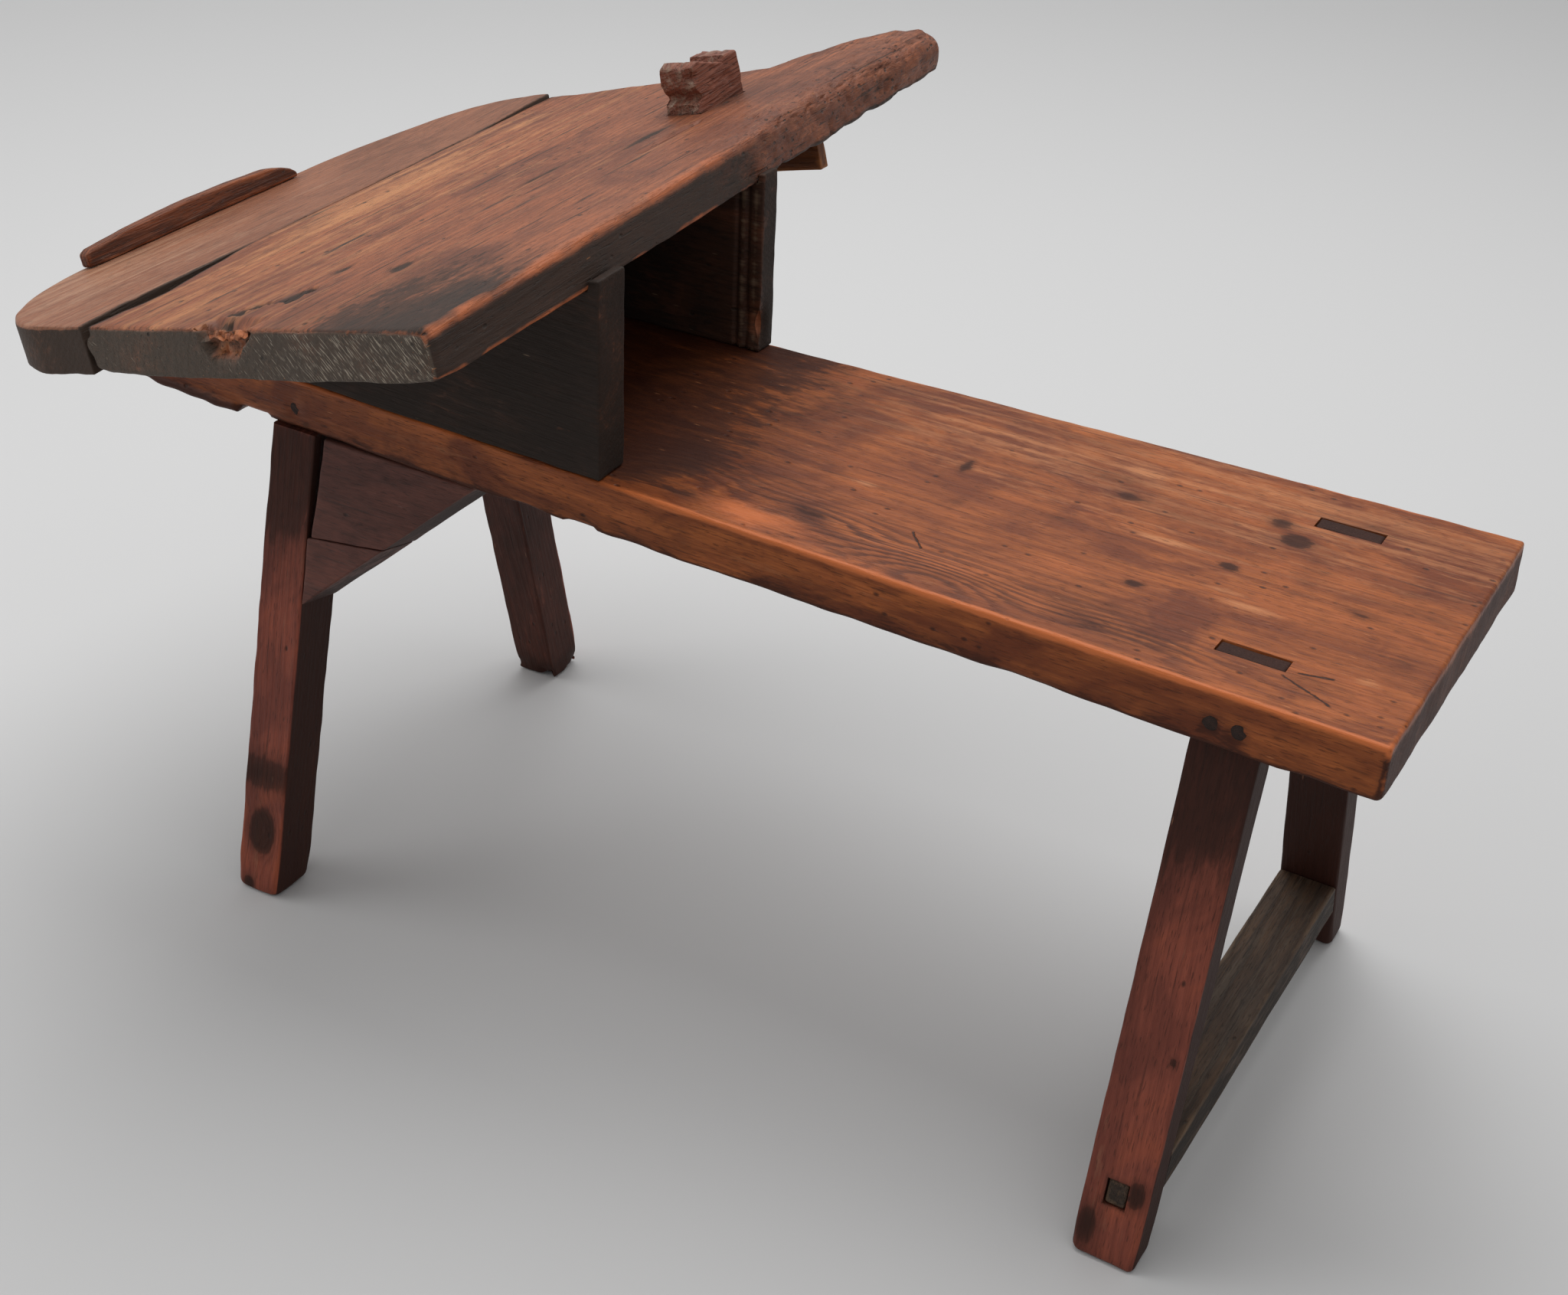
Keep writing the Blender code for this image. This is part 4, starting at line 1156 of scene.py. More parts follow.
@dataclass
class Rail(WoodPiece):
    """The rail between the seat legs, stepping in at each end to a through-tenon."""

    length: float = 0.39
    bottom: float = 0.044
    depth: float = 0.029
    width: float = 0.045
    tenon_low: float = 0.043
    tenon_depth: float = 0.018
    tenon_width: float = 0.015
    tenon_share: float = 0.08
    step: float = 0.001

    def is_tenon(self, unit: Array) -> Array:
        """Say which vertices lie on a tenon."""
        return np.abs(unit[:, 0] - 0.5) > 0.5 - self.tenon_share

    def lines(self) -> Lines:
        """Lattice lines, close together at both shoulders."""
        near = self.tenon_share * self.length
        ends = [middle + way * self.step for middle in (near, self.length - near) for way in (-1, 1)]
        return shares(self.length, 0.003, ends), shares(self.width, 0.0025), shares(self.depth, 0.0025)

    def size(self, unit: Array) -> Array:
        """Length over the tenons, and the section of rail or tenon."""
        tenon = self.is_tenon(unit)
        width = np.where(tenon, self.tenon_width, self.width)
        return columns(self.length, width, np.where(tenon, self.tenon_depth, self.depth))

    def place(self, unit: Array) -> Array:
        """y along between the splayed faces, x across, z through."""
        tenon = self.is_tenon(np.round(unit, 5))
        up = unit[:, 2]
        z = np.where(tenon, self.tenon_low + up * self.tenon_depth, self.bottom + up * self.depth)
        x = -SEAT_LEGS.from_end + (unit[:, 1] - 0.5) * np.where(tenon, self.tenon_width, self.width)
        outer = SEAT_LEGS.outer(z) - FLUSH
        inner = SEAT_LEGS.outer(z) - SEAT_LEGS.thick - GAP
        away = np.abs(2 * unit[:, 0] - 1)
        knee = 1 - 2 * self.tenon_share
        past = held((away - knee) / (1 - knee))
        reach = np.where(away < knee, inner * away / knee, inner + (outer - inner) * past)
        return columns(x, np.sign(unit[:, 0] - 0.5) * reach, z)

    def marks(self, spot: Spot) -> Marks:
        """Greyed top, darker sides."""
        marks = super().marks(spot)
        top = spot.by_high(2, 0.003)
        marks["grime"] = held(self.soiled + 0.45 * (1 - top))
        marks["bleach"] = 0.35 * top
        return marks


@dataclass
class Brace(WoodPiece):
    """One board of a knee brace: a four-cornered board, square through the leg's splayed face."""

    corners: Array = field(default_factory=lambda: np.zeros((4, 2, 3)))

    def corner_grid(self) -> Array:
        """Corners by along, across and through share: low or high each."""
        return self.corners[[[3, 0], [2, 1]]]

    def lengths(self) -> tuple[Array, Array, float]:
        """Edge lengths of the outer face along and across, and the thickness."""
        grid = self.corner_grid()
        along = np.linalg.norm(grid[1, :, 0] - grid[0, :, 0], axis=1)
        across = np.linalg.norm(grid[:, 1, 0] - grid[:, 0, 0], axis=1)
        return along, across, float(np.linalg.norm(grid[0, 0, 1] - grid[0, 0, 0]))

    def lines(self) -> Lines:
        """Lattice lines from the longest edges."""
        along, across, thick = self.lengths()
        return shares(along.max(), 0.003), shares(across.max(), 0.003), shares(thick, 0.004)

    def size(self, unit: Array) -> Array:
        """Edge lengths blended between opposite edges."""
        along, across, thick = self.lengths()
        length = along[0] + (along[1] - along[0]) * unit[:, 1]
        width = across[0] + (across[1] - across[0]) * unit[:, 0]
        return columns(length, width, thick)

    def place(self, unit: Array) -> Array:
        """Blend the eight corners by the three shares."""
        low_high = [np.stack((1 - unit[:, axis], unit[:, axis]), axis=1) for axis in range(3)]
        return np.einsum("ni,nj,nk,ijkc->nc", *low_high, self.corner_grid())

    def grain(self, unit: Array, points: Array) -> Array:
        """Bench x, height, and depth from the outer face."""
        return columns(points[:, 0], points[:, 2], self.size(unit)[:, 2] * unit[:, 2])

    def marks(self, spot: Spot) -> Marks:
        """Painted shade at the edges and the underside."""
        marks = super().marks(spot)
        outer = spot.by_low(2, 0.004)
        # Painted shade: every face but the outer one is darkened
        marks["grime"] = held(self.soiled + 0.35 * (1 - outer))
        return marks


@dataclass
class KneeBraces:
    """The two boards of the knee brace beside each work leg."""

    finish: Material
    length: float = 0.146
    drop: float = 0.13
    split: float = 0.0765
    split_rise: float = 0.009
    gap_top: float = 0.008
    gap_foot: float = 0.0035
    blunt: float = 0.003

    def corner(self, side: Side, x: float, z: float, shift: Optional[float] = None) -> Array:
        """Outer and inner point: square through the splayed face, or level and shifted along x."""
        lean = math.atan(WORK_LEGS.slope)
        out = WORK_LEGS.outer(z)
        inner = (x + (shift or 0.0), out - WORK_LEGS.thick, z)
        if shift is None:
            depth = WORK_LEGS.thick * math.cos(lean)
            inner = (x, out - depth * math.cos(lean), z - depth * math.sin(lean))
        return np.array(((x, out, z), inner)) * (1, side.value, 1)

    def build(self, side: Side) -> None:
        """Build both boards on one side."""
        face = -WORK_LEGS.from_end + WORK_LEGS.width / 2
        top = PLANK_UNDER - GAP
        low = top - self.drop
        split = top - self.split
        end = split + self.split_rise
        run = self.length / self.drop
        lean = math.atan(WORK_LEGS.slope)
        shift = WORK_LEGS.thick * math.cos(lean) * math.sin(lean) * run

        def diagonal(z: float) -> float:
            """x of the sloping edge at height z."""
            return face + GAP + (z - low) * run

        upper = (self.corner(side, face + self.gap_top, top, 0.0),
                 self.corner(side, diagonal(top), top, shift),
                 self.corner(side, diagonal(end), end), self.corner(side, face + self.gap_foot, split))
        lower = (self.corner(side, face + GAP, split - 2 * GAP),
                 self.corner(side, diagonal(end) - 2 * GAP * run, end - 2 * GAP),
                 self.corner(side, diagonal(low + self.blunt), low + self.blunt),
                 self.corner(side, face + GAP, low))
        for seed, (part, pairs) in enumerate((("upper", upper), ("lower", lower))):
            rings = Rings(0.3, -0.1, 0.1, seed=51 + seed)
            Brace(f"{side.label}_{part}_brace_wood", self.finish, Slot.LEG, rings, corners=np.array(pairs),
                  worn=0.2, soiled=0.36 - 0.1 * seed, seed=40 + seed).build()


@dataclass
class Support(WoodPiece):
    """One wedge support on the plank's edge, under the work top."""

    side: Side = Side.NEAR
    thick: float = 0.032
    front: float = -0.562
    back: float = -0.952
    foot: float = SEAT_HEIGHT + GAP
    moulded: bool = False
    tallest: float = 0.141
    shoulder: float = 0.0079
    rise: float = 0.0066
    moulding: float = 0.03
    chip_height: float = 0.022
    step: float = 0.0005

    def top_at(self, x: Array) -> Array:
        """Height of the upper edge: the work top's underside, and a low shoulder in front of the board."""
        return top_underside(x) - GAP + self.rise * (x > self.front - self.shoulder - self.step / 2)

    def x_at(self, unit: Array) -> Array:
        """x of each vertex."""
        return self.back + unit[:, 0] * (self.front - self.back)

    def lines(self) -> Lines:
        """Lattice lines, closer at the moulded front."""
        length = self.front - self.back
        extra = [length - self.shoulder - self.step, length - self.shoulder]
        if self.moulded:
            extra += list(np.arange(length - self.moulding, extra[0] - self.step, 0.0012))
        return shares(length, 0.0042, extra), shares(self.tallest, 0.0035), shares(self.thick, 0.003)

    def size(self, unit: Array) -> Array:
        """Length, height under the slope, thickness."""
        x = self.x_at(unit)
        height = self.top_at(x) - self.foot
        return columns(self.front - self.back, height, self.thick)

    def place(self, unit: Array) -> Array:
        """x along, z across up to the slope, y through from the plank's edge inwards."""
        x = self.x_at(unit)
        z = self.foot + unit[:, 1] * (self.top_at(x) - self.foot)
        y = self.side.value * (plank_edge(x) - unit[:, 2] * self.thick)
        return columns(x, y, z)

    def grain(self, unit: Array, points: Array) -> Array:
        """Bench x, height above the foot, and depth from the outer face."""
        return columns(points[:, 0], points[:, 2] - self.foot, unit[:, 2] * self.thick)

    def relief(self, spot: Spot) -> Array:
        """Slow hollows; on the far one grooves down its front edge and a broken corner."""
        move = super().relief(spot)
        if not self.moulded:
            return move
        x, z, _ = spot.grain.T
        inner = spot.by_high(2, 0.003)
        from_front = self.front - x
        grooves = ridge(from_front, 0.0125, 0.0016) + ridge(from_front, 0.021, 0.0016)
        chip = blot(x, z, (self.front, self.chip_height), (0.013, 0.013)) * spot.by_high(2, 0.014, 0.002)
        return move - 0.0016 * inner * grooves - 0.0055 * chip

    def marks(self, spot: Spot) -> Marks:
        """Near black; the far one's inner face is browner, with light mouldings and a broken corner."""
        marks = super().marks(spot)
        x, z, _ = spot.grain.T
        grime = np.full(len(x), self.soiled)
        if self.moulded:
            inner = spot.by_high(2, 0.003)
            grime = grime - 0.35 * inner * smooth(self.front - x, 0.16, 0.02)
            line = ridge(self.front - x, 0.0165, 0.0022) + ridge(self.front - x, 0.006, 0.002)
            chip = blot(x, z, (self.front, self.chip_height), (0.012, 0.013)) * spot.by_high(2, 0.012, 0.001)
            marks["bleach"] = held(0.5 * inner * line)
            marks["wear"] = np.maximum(marks["wear"] * 0.5, 0.85 * chip)
            grime = grime * (1 - held(chip))
        marks["grime"] = held(grime)
        marks["wear"] = held(marks["wear"])
        return marks


@dataclass
class TopBoard(WoodPiece):
    """A board of the work top: a patch on the slope, raised through its thickness."""

    span: Range = (0.7, 0.3)
    spacing: Range = (0.004, 0.0031)

    def patch(self, across: Array, along: Array) -> Array:
        """Carry shares across and along the board to u and v."""
        raise NotImplementedError

    def extra_lines(self) -> tuple[Floats, Floats]:
        """Further lattice lines along and across, in metres; plain boards have none."""
        return (), ()

    def lines(self) -> Lines:
        """Lattice lines over the greatest length and width."""
        length, width = self.span
        along, across = self.extra_lines()
        return (shares(length, self.spacing[0], along), shares(width, self.spacing[1], across),
                shares(TOP_THICK, 0.0032))

    def dark_edge(self, spot: Spot, depth: Length) -> Array:
        """Dirt on the edges and ends, beginning at a depth under the top."""
        outside = np.minimum(spot.low[:, :2], spot.high[:, :2]).min(axis=1)
        return smooth(spot.high[:, 2], 0.0006, depth) * smooth(outside, 0.003, 0.001)

    def dark_joint(self, spot: Spot, away: Array) -> Array:
        """Dirt in the joint between the boards, by the distance from it."""
        return smooth(away, 0.0015, 0.0004) * smooth(spot.high[:, 2], 0.0004, 0.0014)

    def grain(self, unit: Array, points: Array) -> Array:
        """v along, u across, w through."""
        flat = self.patch(unit[:, 1], unit[:, 0])
        return columns(flat[:, 1], flat[:, 0], unit[:, 2] * TOP_THICK)


@dataclass
class WideBoard(TopBoard):
    """The wide board: square at the near end, slanted at the far end and running out into a rotted nose."""

    span: Range = (0.737, 0.318)
    near_end: float = -0.3025
    near_skew: float = 0.004
    far_end: float = 0.2685
    slant: float = 0.058
    nose_width: float = 0.093
    nose_length: float = 0.119
    nose_apex: float = 0.024
    nose_corner: float = 0.014
    edge_skew: float = 0.04
    joint: Points = (
        (-0.2905, -0.2985), (-0.2895, -0.27), (-0.2865, -0.25), (-0.286, -0.227),
        (-0.292, -0.195), (-0.2965, -0.165), (-0.3038, -0.1266), (-0.318, 0.2685),
    )
    ledge: float = 0.0062
    stop_u: Range = (-0.1435, -0.1105)
    stop_v: Range = (0.1825, 0.2495)
    stop_shares: Range = (0.6, 0.71)
    seam: float = 0.262
    seam_low: float = 0.12
    seam_share: float = 0.756

    def high_edge(self, v: Length) -> Length:
        """u of the high edge at v."""
        reach = self.far_end + self.slant + self.nose_length
        return -self.edge_skew * (v - self.near_end) / (reach - self.near_end)

    def far_curve(self) -> Array:
        """The slanted far end, the nose's long curve and its short corner, as points (u, v)."""
        root_v = self.far_end + self.slant
        root = self.high_edge(root_v) - self.nose_width
        apex = root + self.nose_width - self.nose_apex
        corner = root_v + self.nose_length - self.nose_corner
        rise = quarter((apex, root_v), (root - apex, 0.0), (0.0, self.nose_length))
        fall = quarter((apex, corner), (0.0, self.nose_corner), (self.high_edge(corner) - apex, 0.0))
        return np.concatenate((np.array(self.joint[-1:]), rise, fall[1:]))

    def rows(self, across: Array, along: Array) -> Lines:
        """v of the near end, of the seam to the far part, and of the straight part at a share along."""
        near = self.near_end + self.near_skew * (1 - across)
        seam = self.seam_low + (self.seam - self.seam_low) * smooth(across, 0.0, 0.9 * self.stop_shares[0])
        return near, seam, near + np.minimum(along / self.seam_share, 1.0) * (seam - near)

    def column(self, across: Array, v: Array) -> tuple[Array, Array]:
        """u at a share across, straight along the stop's mortise, and metres per share there."""
        joint_u, joint_v = np.array(self.joint).T
        knots = columns(np.interp(v, joint_v, joint_u), *self.stop_u, self.high_edge(v)).T
        stops = (0.0, *self.stop_shares, 1.0)
        u = knots[0]
        rate = np.ones(len(v))
        for low, high, start, end in zip(knots[:-1], knots[1:], stops[:-1], stops[1:]):
            inside = across >= start
            u = np.where(inside, low + (high - low) * (across - start) / (end - start), u)
            rate = np.where(inside, (high - low) / (end - start), rate)
        return u, rate

    def patch(self, across: Array, along: Array) -> Array:
        """Two ruled parts: near end to a seam line with straight columns, then seam line to the far curve."""
        v = self.rows(across, along)[2]
        line = columns(self.column(across, v)[0], v)
        share = held((along - self.seam_share) / (1 - self.seam_share))[:, None]
        return line + share * (follow(self.far_curve(), across) - line)

    def place(self, unit: Array) -> Array:
        """Lay the board on the slope; a ledge fills the low part of the open joint at the near end."""
        flat = self.patch(unit[:, 1], unit[:, 0])
        filled = smooth(flat[:, 1] - self.near_end, 0.034, 0.014) * smooth(unit[:, 1], 0.03, 0.0)
        u = flat[:, 0] - self.ledge * filled * smooth(unit[:, 2], 0.86, 0.66)
        return on_slope(u, flat[:, 1], unit[:, 2] * TOP_THICK)

    def size(self, unit: Array) -> Array:
        """Metres per share along and across, and the thickness."""
        along, across = unit[:, 0], unit[:, 1]
        near, seam, v = self.rows(across, along)
        line = columns(self.column(across, seam)[0], seam)
        far = np.linalg.norm(follow(self.far_curve(), across) - line, axis=1) / (1 - self.seam_share)
        length = np.where(along < self.seam_share, (seam - near) / self.seam_share, far)
        return columns(length, self.column(across, v)[1], TOP_THICK)

    def stop_lines(self) -> tuple[float, float]:
        """Shares along at which the stop's mortise begins and ends."""
        near = self.near_end + self.near_skew * (1 - sum(self.stop_shares) / 2)
        return tuple(self.seam_share * (v - near) / (self.seam - near) for v in self.stop_v)

    def mortises(self) -> tuple[Mortise, ...]:
        """The mortise that the stop slides in."""
        return (Mortise(self.stop_lines(), self.stop_shares, self.stop_shares),)

    def extra_lines(self) -> tuple[Floats, Floats]:
        """Lines on the stop's mortise, closer ones along the nose and beside the two splits."""
        length, width = self.span
        nose = np.arange(0.6 * length, length - 0.008, 0.0026)
        low, high = length * np.array(self.stop_lines())
        nose = nose[(np.abs(nose - low) > 0.0015) & (np.abs(nose - high) > 0.0015)]
        along = np.concatenate((np.arange(0.008, 0.085, 0.0018), (low, high), nose))
        splits = [width * share + off for share in SPLIT_SHARES for off in (-0.0012, 0.0, 0.0012)]
        broken = np.arange(0.42 * width, 0.64 * width, 0.0015)
        fixed = np.array([width * share for share in self.stop_shares] + splits)
        broken = broken[np.abs(broken[:, None] - fixed).min(axis=1) > 0.0009]
        return along, np.concatenate((fixed, broken))

    def rot(self, spot: Spot) -> Array:
        """How rotted the wood is: along the far half of the high edge and all over the nose."""
        v = spot.grain[:, 0]
        edge = spot.by_high(1, 0.055, 0.01) * smooth(v, 0.02, 0.17)
        return held(np.maximum(edge, smooth(v, 0.325, 0.4)))

    def pitted(self, spot: Spot) -> Array:
        """Small deep spots in the rotted wood."""
        return spot.patchy(-0.36, 1.0, (0.0075, 0.0055, 0.0055), 91)

    def arris_radius(self, spot: Spot) -> Array:
        """Rubbed arrises, a rounder near high corner, a rotted nose and a rotted low near corner."""
        v, _, w = spot.grain.T
        radius = super().arris_radius(spot)
        radius += self.rot(spot) * smooth(v, 0.05, 0.32) * (0.004 + 0.009 * smooth(w, 0.01, 0.024))
        corner = spot.by_low(0, 0.03) * spot.by_high(1, 0.03)
        under = spot.by_low(0, 0.03) * spot.by_low(1, 0.06) * smooth(w, 0.012, 0.0)
        sharp = 1 - 0.75 * spot.by_low(1, 0.02, 0.008) * smooth(w, 0.01, 0.02)
        high = 0.0025 * spot.by_high(1, 0.012, 0.004) * smooth(w, 0.014, 0.024)
        crisp = 1 - 0.6 * smooth(w, 0.012, 0.004)
        return radius * sharp * crisp + high + 0.006 * corner + 0.006 * under

    def chunk(self, spot: Spot) -> Array:
        """The piece broken out of the near edge: a ragged wedge, widest at the top."""
        v, u, w = spot.grain.T
        reach = 0.004 + 0.019 * smooth(w, 0.008, 0.034)
        ragged = 0.006 * spot.noise((0.012, 0.008, 0.007), 95)
        across = smooth(np.abs(u + 0.169 + ragged), reach + 0.003, reach - 0.003)
        return across * smooth(v, self.near_end + 0.026, self.near_end + 0.008) * smooth(w, 0.01, 0.017)

    def channel(self, spot: Spot) -> Array:
        """The rotted channel behind the broken edge: bells along a bent line, broken by noise."""
        v, u, _ = spot.grain.T
        runs = [beside(v, u, start, end, 0.0052) for start, end in zip(CHANNEL[:-1], CHANNEL[1:])]
        crumbs = spot.patchy(0.55, 1.3, (0.007, 0.005, 0.005), 99)
        return np.max(runs, axis=0) * crumbs * spot.by_high(2, 0.004)

    def relief(self, spot: Spot) -> Array:
        """Slow hollows, two splits along the grain, a broken near edge, pits, and a wormy nose."""
        v, u, w = spot.grain.T
        move = super().relief(spot)
        top = spot.by_high(2, 0.004)
        rot = self.rot(spot)
        lumps = spot.noise((0.02, 0.012, 0.012), 93)
        move += rot * (0.0013 * lumps - 0.003 * self.pitted(spot))
        move += 0.006 * smooth(v, 0.3, 0.4) * spot.by_high(1, 0.03) * ridge(w, 0.017, 0.012)
        for share, (start, end) in zip(SPLIT_SHARES, SPLIT_ENDS):
            place = self.column(np.full(len(v), share), v)[0]
            move -= 0.0034 * top * band(v, start, end, 0.012) * ridge(u, place, 0.0013)
        crumbs = spot.noise((0.006, 0.005, 0.005), 96)
        move = move - (0.008 + 0.0024 * crumbs) * self.chunk(spot) - 0.0042 * self.channel(spot)
        return move - top * blots(v, u, TOP_DENTS)

    def marks(self, spot: Spot) -> Marks:
        """Pale streaks beside the joint, near black edges, painted shade on the underside, rubbed orange
        arrises, brown rot.
        """
        marks = super().marks(spot)
        v, u, w = spot.grain.T
        top = spot.by_high(2, 0.0035)
        rot = self.rot(spot)
        patchy = spot.patchy(0.75, 0.6, (0.16, 0.05, 0.03), 61)
        strip = smooth(u, -0.15, -0.27) * smooth(v, -0.3, -0.16)
        bleach = top * patchy * (0.34 * strip + 0.26 * smooth(u, -0.06, -0.14) * smooth(v, 0.24, 0.0))
        bleach += top * blots(v, u, TOP_PALE)
        edge = self.dark_edge(spot, 0.0034 + 0.008 * spot.by_high(1, 0.004))
        end = spot.by_low(0, 0.004)
        joint = self.dark_joint(spot, spot.low[:, 1])
        # The underside is darkened as painted shade
        grime = edge * (1.0 - 0.18 * end - 0.72 * rot) + 0.6 * spot.by_low(2, 0.004) + joint
        grime += top * (0.4 + 0.4 * smooth(v, -0.09, -0.13)) * spot.by_low(1, 0.0034, 0.0012)
        grime += top * 0.6 * smooth(u, -0.17, -0.06) * smooth(v, -0.08, -0.22)
        grime += top * 0.3 * smooth(v, 0.12, 0.32) + top * 0.2 * smooth(v, -0.19, -0.28)
        bleach += 0.3 * top * patchy * smooth(v, -0.19, -0.28)
        grime += top * blots(v, u, TOP_STAINS)
        grime += 0.42 * rot * self.pitted(spot) + 1.5 * self.channel(spot)
        chunk = self.chunk(spot)
        crumbs = spot.patchy(0.5, 1.2, (0.005, 0.004, 0.004), 98)
        high_rim = 0.72 * spot.by_high(1, 0.014, 0.001) * smooth(w, 0.022, 0.031)
        nicks = spot.patchy(0.75, 0.8, (0.02, 0.03, 0.03), 97)
        high_rim = nicks * high_rim * smooth(spot.arris, 0.013, 0.002)
        wear = np.maximum(marks["wear"] * smooth(w, 0.022, 0.03), high_rim) * (1 - 0.8 * rot)
        wear *= smooth(spot.low[:, 1], 0.004, 0.012)
        low_rim = spot.by_high(1, 0.0036, 0.0008) * smooth(w, 0.0052, 0.0008) * (1 - rot)
        wear = np.maximum(wear, 0.75 * nicks * low_rim) * (1 - 0.55 * spot.by_low(0, 0.01, 0.004))
        corner = 0.3 * spot.by_low(0, 0.006) * spot.by_high(1, 0.006)
        wear = np.maximum(wear, chunk * (0.25 + 0.4 * crumbs)) + corner
        marks["wear"] = held(wear + 0.15 * rot * smooth(w, 0.02, 0.03))
        marks["grime"] = held(grime * (1 - chunk) + 0.5 * chunk * (1 - crumbs))
        marks["bleach"] = held(np.maximum(bleach, 0.8 * chunk * crumbs))
        marks["sawn"] = end * (1 - top) * (0.52 + 0.48 * smooth(u, -0.2, -0.08))
        marks["rot"] = rot
        return marks


# Splits along the grain of the wide board: share across, and v where each begins and ends
SPLIT_SHARES = (0.728, 0.748)
SPLIT_ENDS = ((-0.32, -0.288), (0.085, 0.155))

# The rotted channel behind the broken near edge, as points (v, u)
CHANNEL = ((-0.296, -0.168), (-0.272, -0.18), (-0.259, -0.174), (-0.248, -0.161), (-0.226, -0.158))

# Dents in the wide board: place (v, u), radii, depth in metres
TOP_DENTS = (
    ((-0.18, -0.117), (0.01, 0.004), 0.0012),
    ((-0.185, -0.163), (0.01, 0.004), 0.001),
    ((0.04, -0.06), (0.01, 0.004), 0.0008),
)
# Pale places on the wide board: place (v, u), radii, strength
TOP_PALE = (
    ((-0.01, -0.272), (0.07, 0.012), 0.5),
    ((0.085, -0.28), (0.04, 0.01), 0.5),
    ((0.178, -0.284), (0.026, 0.01), 0.5),
)

# Dark marks on the wide board: place (v, u), radii, strength
TOP_STAINS = (
    ((-0.18, -0.117), (0.012, 0.005), 0.95),
    ((-0.185, -0.163), (0.014, 0.004), 0.9),
    ((0.12, -0.12), (0.04, 0.004), 0.95),
    # Round the stop's foot: partly soiling and partly painted shadow where the stop stands in the board
    ((0.216, -0.127), (0.045, 0.024), 0.6),
    ((0.02, -0.15), (0.06, 0.003), 0.6),
    ((-0.1, -0.19), (0.05, 0.003), 0.6),
    ((-0.06, -0.08), (0.03, 0.003), 0.6),
    ((-0.15, -0.235), (0.04, 0.003), 0.55),
    ((0.06, -0.215), (0.07, 0.003), 0.5),
)


@dataclass
class LowBoard(TopBoard):
    """The narrow board along the low edge, rounded at both ends, apart from the wide one at the near end."""

    span: Range = (0.561, 0.107)
    near_end: float = -0.2985
    near_corner: float = -0.339
    joint: Points = (
        (-0.298, -0.2985), (-0.303, -0.258), (-0.3037, -0.2085), (-0.3045, -0.1266), (-0.3186, 0.2685),
    )
    low_edge: float = -0.4256
    corner_length: float = 0.1355
    far_length: float = 0.1985
    far_share: float = 0.62
    proud: float = 0.003

    def place(self, unit: Array) -> Array:
        """Lay the board on the slope; its top stands proud of the wide board at the far end."""
        flat = self.patch(unit[:, 1], unit[:, 0])
        thick = TOP_THICK + self.proud * smooth(flat[:, 1], 0.15, 0.26)
        return on_slope(flat[:, 0], flat[:, 1], unit[:, 2] * thick)

    def borders(self) -> tuple[Array, Array, Array, Array]:
        """Points (u, v) of the curved low edge, the joint, the near end and the end of the far curve."""
        corner_v = self.near_end + self.corner_length
        far_u, end_v = self.joint[-1]
        curve = ((far_u, end_v - self.far_length), (self.low_edge - far_u, 0.0), (0.0, self.far_length))
        near_curve = quarter((self.near_corner, corner_v), (0.0, -self.corner_length),
                             (self.low_edge - self.near_corner, 0.0))
        low = np.concatenate((near_curve, quarter(*curve, high=self.far_share)))
        far = quarter(*curve, low=self.far_share)
        high = np.array(self.joint)
        return low, high, np.stack((low[0], high[0])), far

    def patch(self, across: Array, along: Array) -> Array:
        """Blend opposite borders and take away the doubly counted corners (a Coons patch)."""
        low, high, near, far = self.borders()
        a, t = across[:, None], along[:, None]
        edges = (1 - a) * follow(low, along) + a * follow(high, along)
        ends = (1 - t) * follow(near, across) + t * follow(far, across)
        corners = (1 - t) * ((1 - a) * low[0] + a * high[0]) + t * ((1 - a) * low[-1] + a * high[-1])
        return edges + ends - corners

    def size(self, unit: Array) -> Array:
        """Distance between opposite borders, and the thickness."""
        low, high, near, far = self.borders()
        width = np.linalg.norm(follow(high, unit[:, 0]) - follow(low, unit[:, 0]), axis=1)
        length = np.linalg.norm(follow(far, unit[:, 1]) - follow(near, unit[:, 1]), axis=1)
        return columns(length, np.maximum(width, 0.004), TOP_THICK)

    def arris_radius(self, spot: Spot) -> Array:
        """Rounded arrises, sharp ones along the joint."""
        return super().arris_radius(spot) * (1 - 0.75 * spot.by_high(1, 0.02, 0.008))

    def marks(self, spot: Spot) -> Marks:
        """Even greyish top, dark edges, painted shade on the underside, one dark scratch."""
        marks = super().marks(spot)
        v, u, w = spot.grain.T
        top = spot.by_high(2, 0.0035)
        # The underside is darkened as painted shade
        grime = 0.92 * self.dark_edge(spot, 0.0034) + 0.5 * spot.by_low(2, 0.004)
        grime += self.dark_joint(spot, spot.high[:, 1])
        grime += top * (0.3 + 0.3 * smooth(v, -0.09, -0.13)) * spot.by_high(1, 0.0024, 0.0008)
        scratch = blot(v, u, (-0.052, -0.355), (0.02, 0.004))
        grime += top * (0.55 * scratch + 0.25 * smooth(v, -0.02, 0.12))
        patchy = spot.patchy(0.75, 0.5, (0.2, 0.06, 0.03), 63)
        marks["grime"] = held(grime)
        marks["bleach"] = held(0.7 * top * patchy * smooth(v, 0.12, -0.14))
        marks["wear"] = marks["wear"] * smooth(w, 0.024, 0.031) * smooth(spot.high[:, 1], 0.004, 0.012)
        return marks


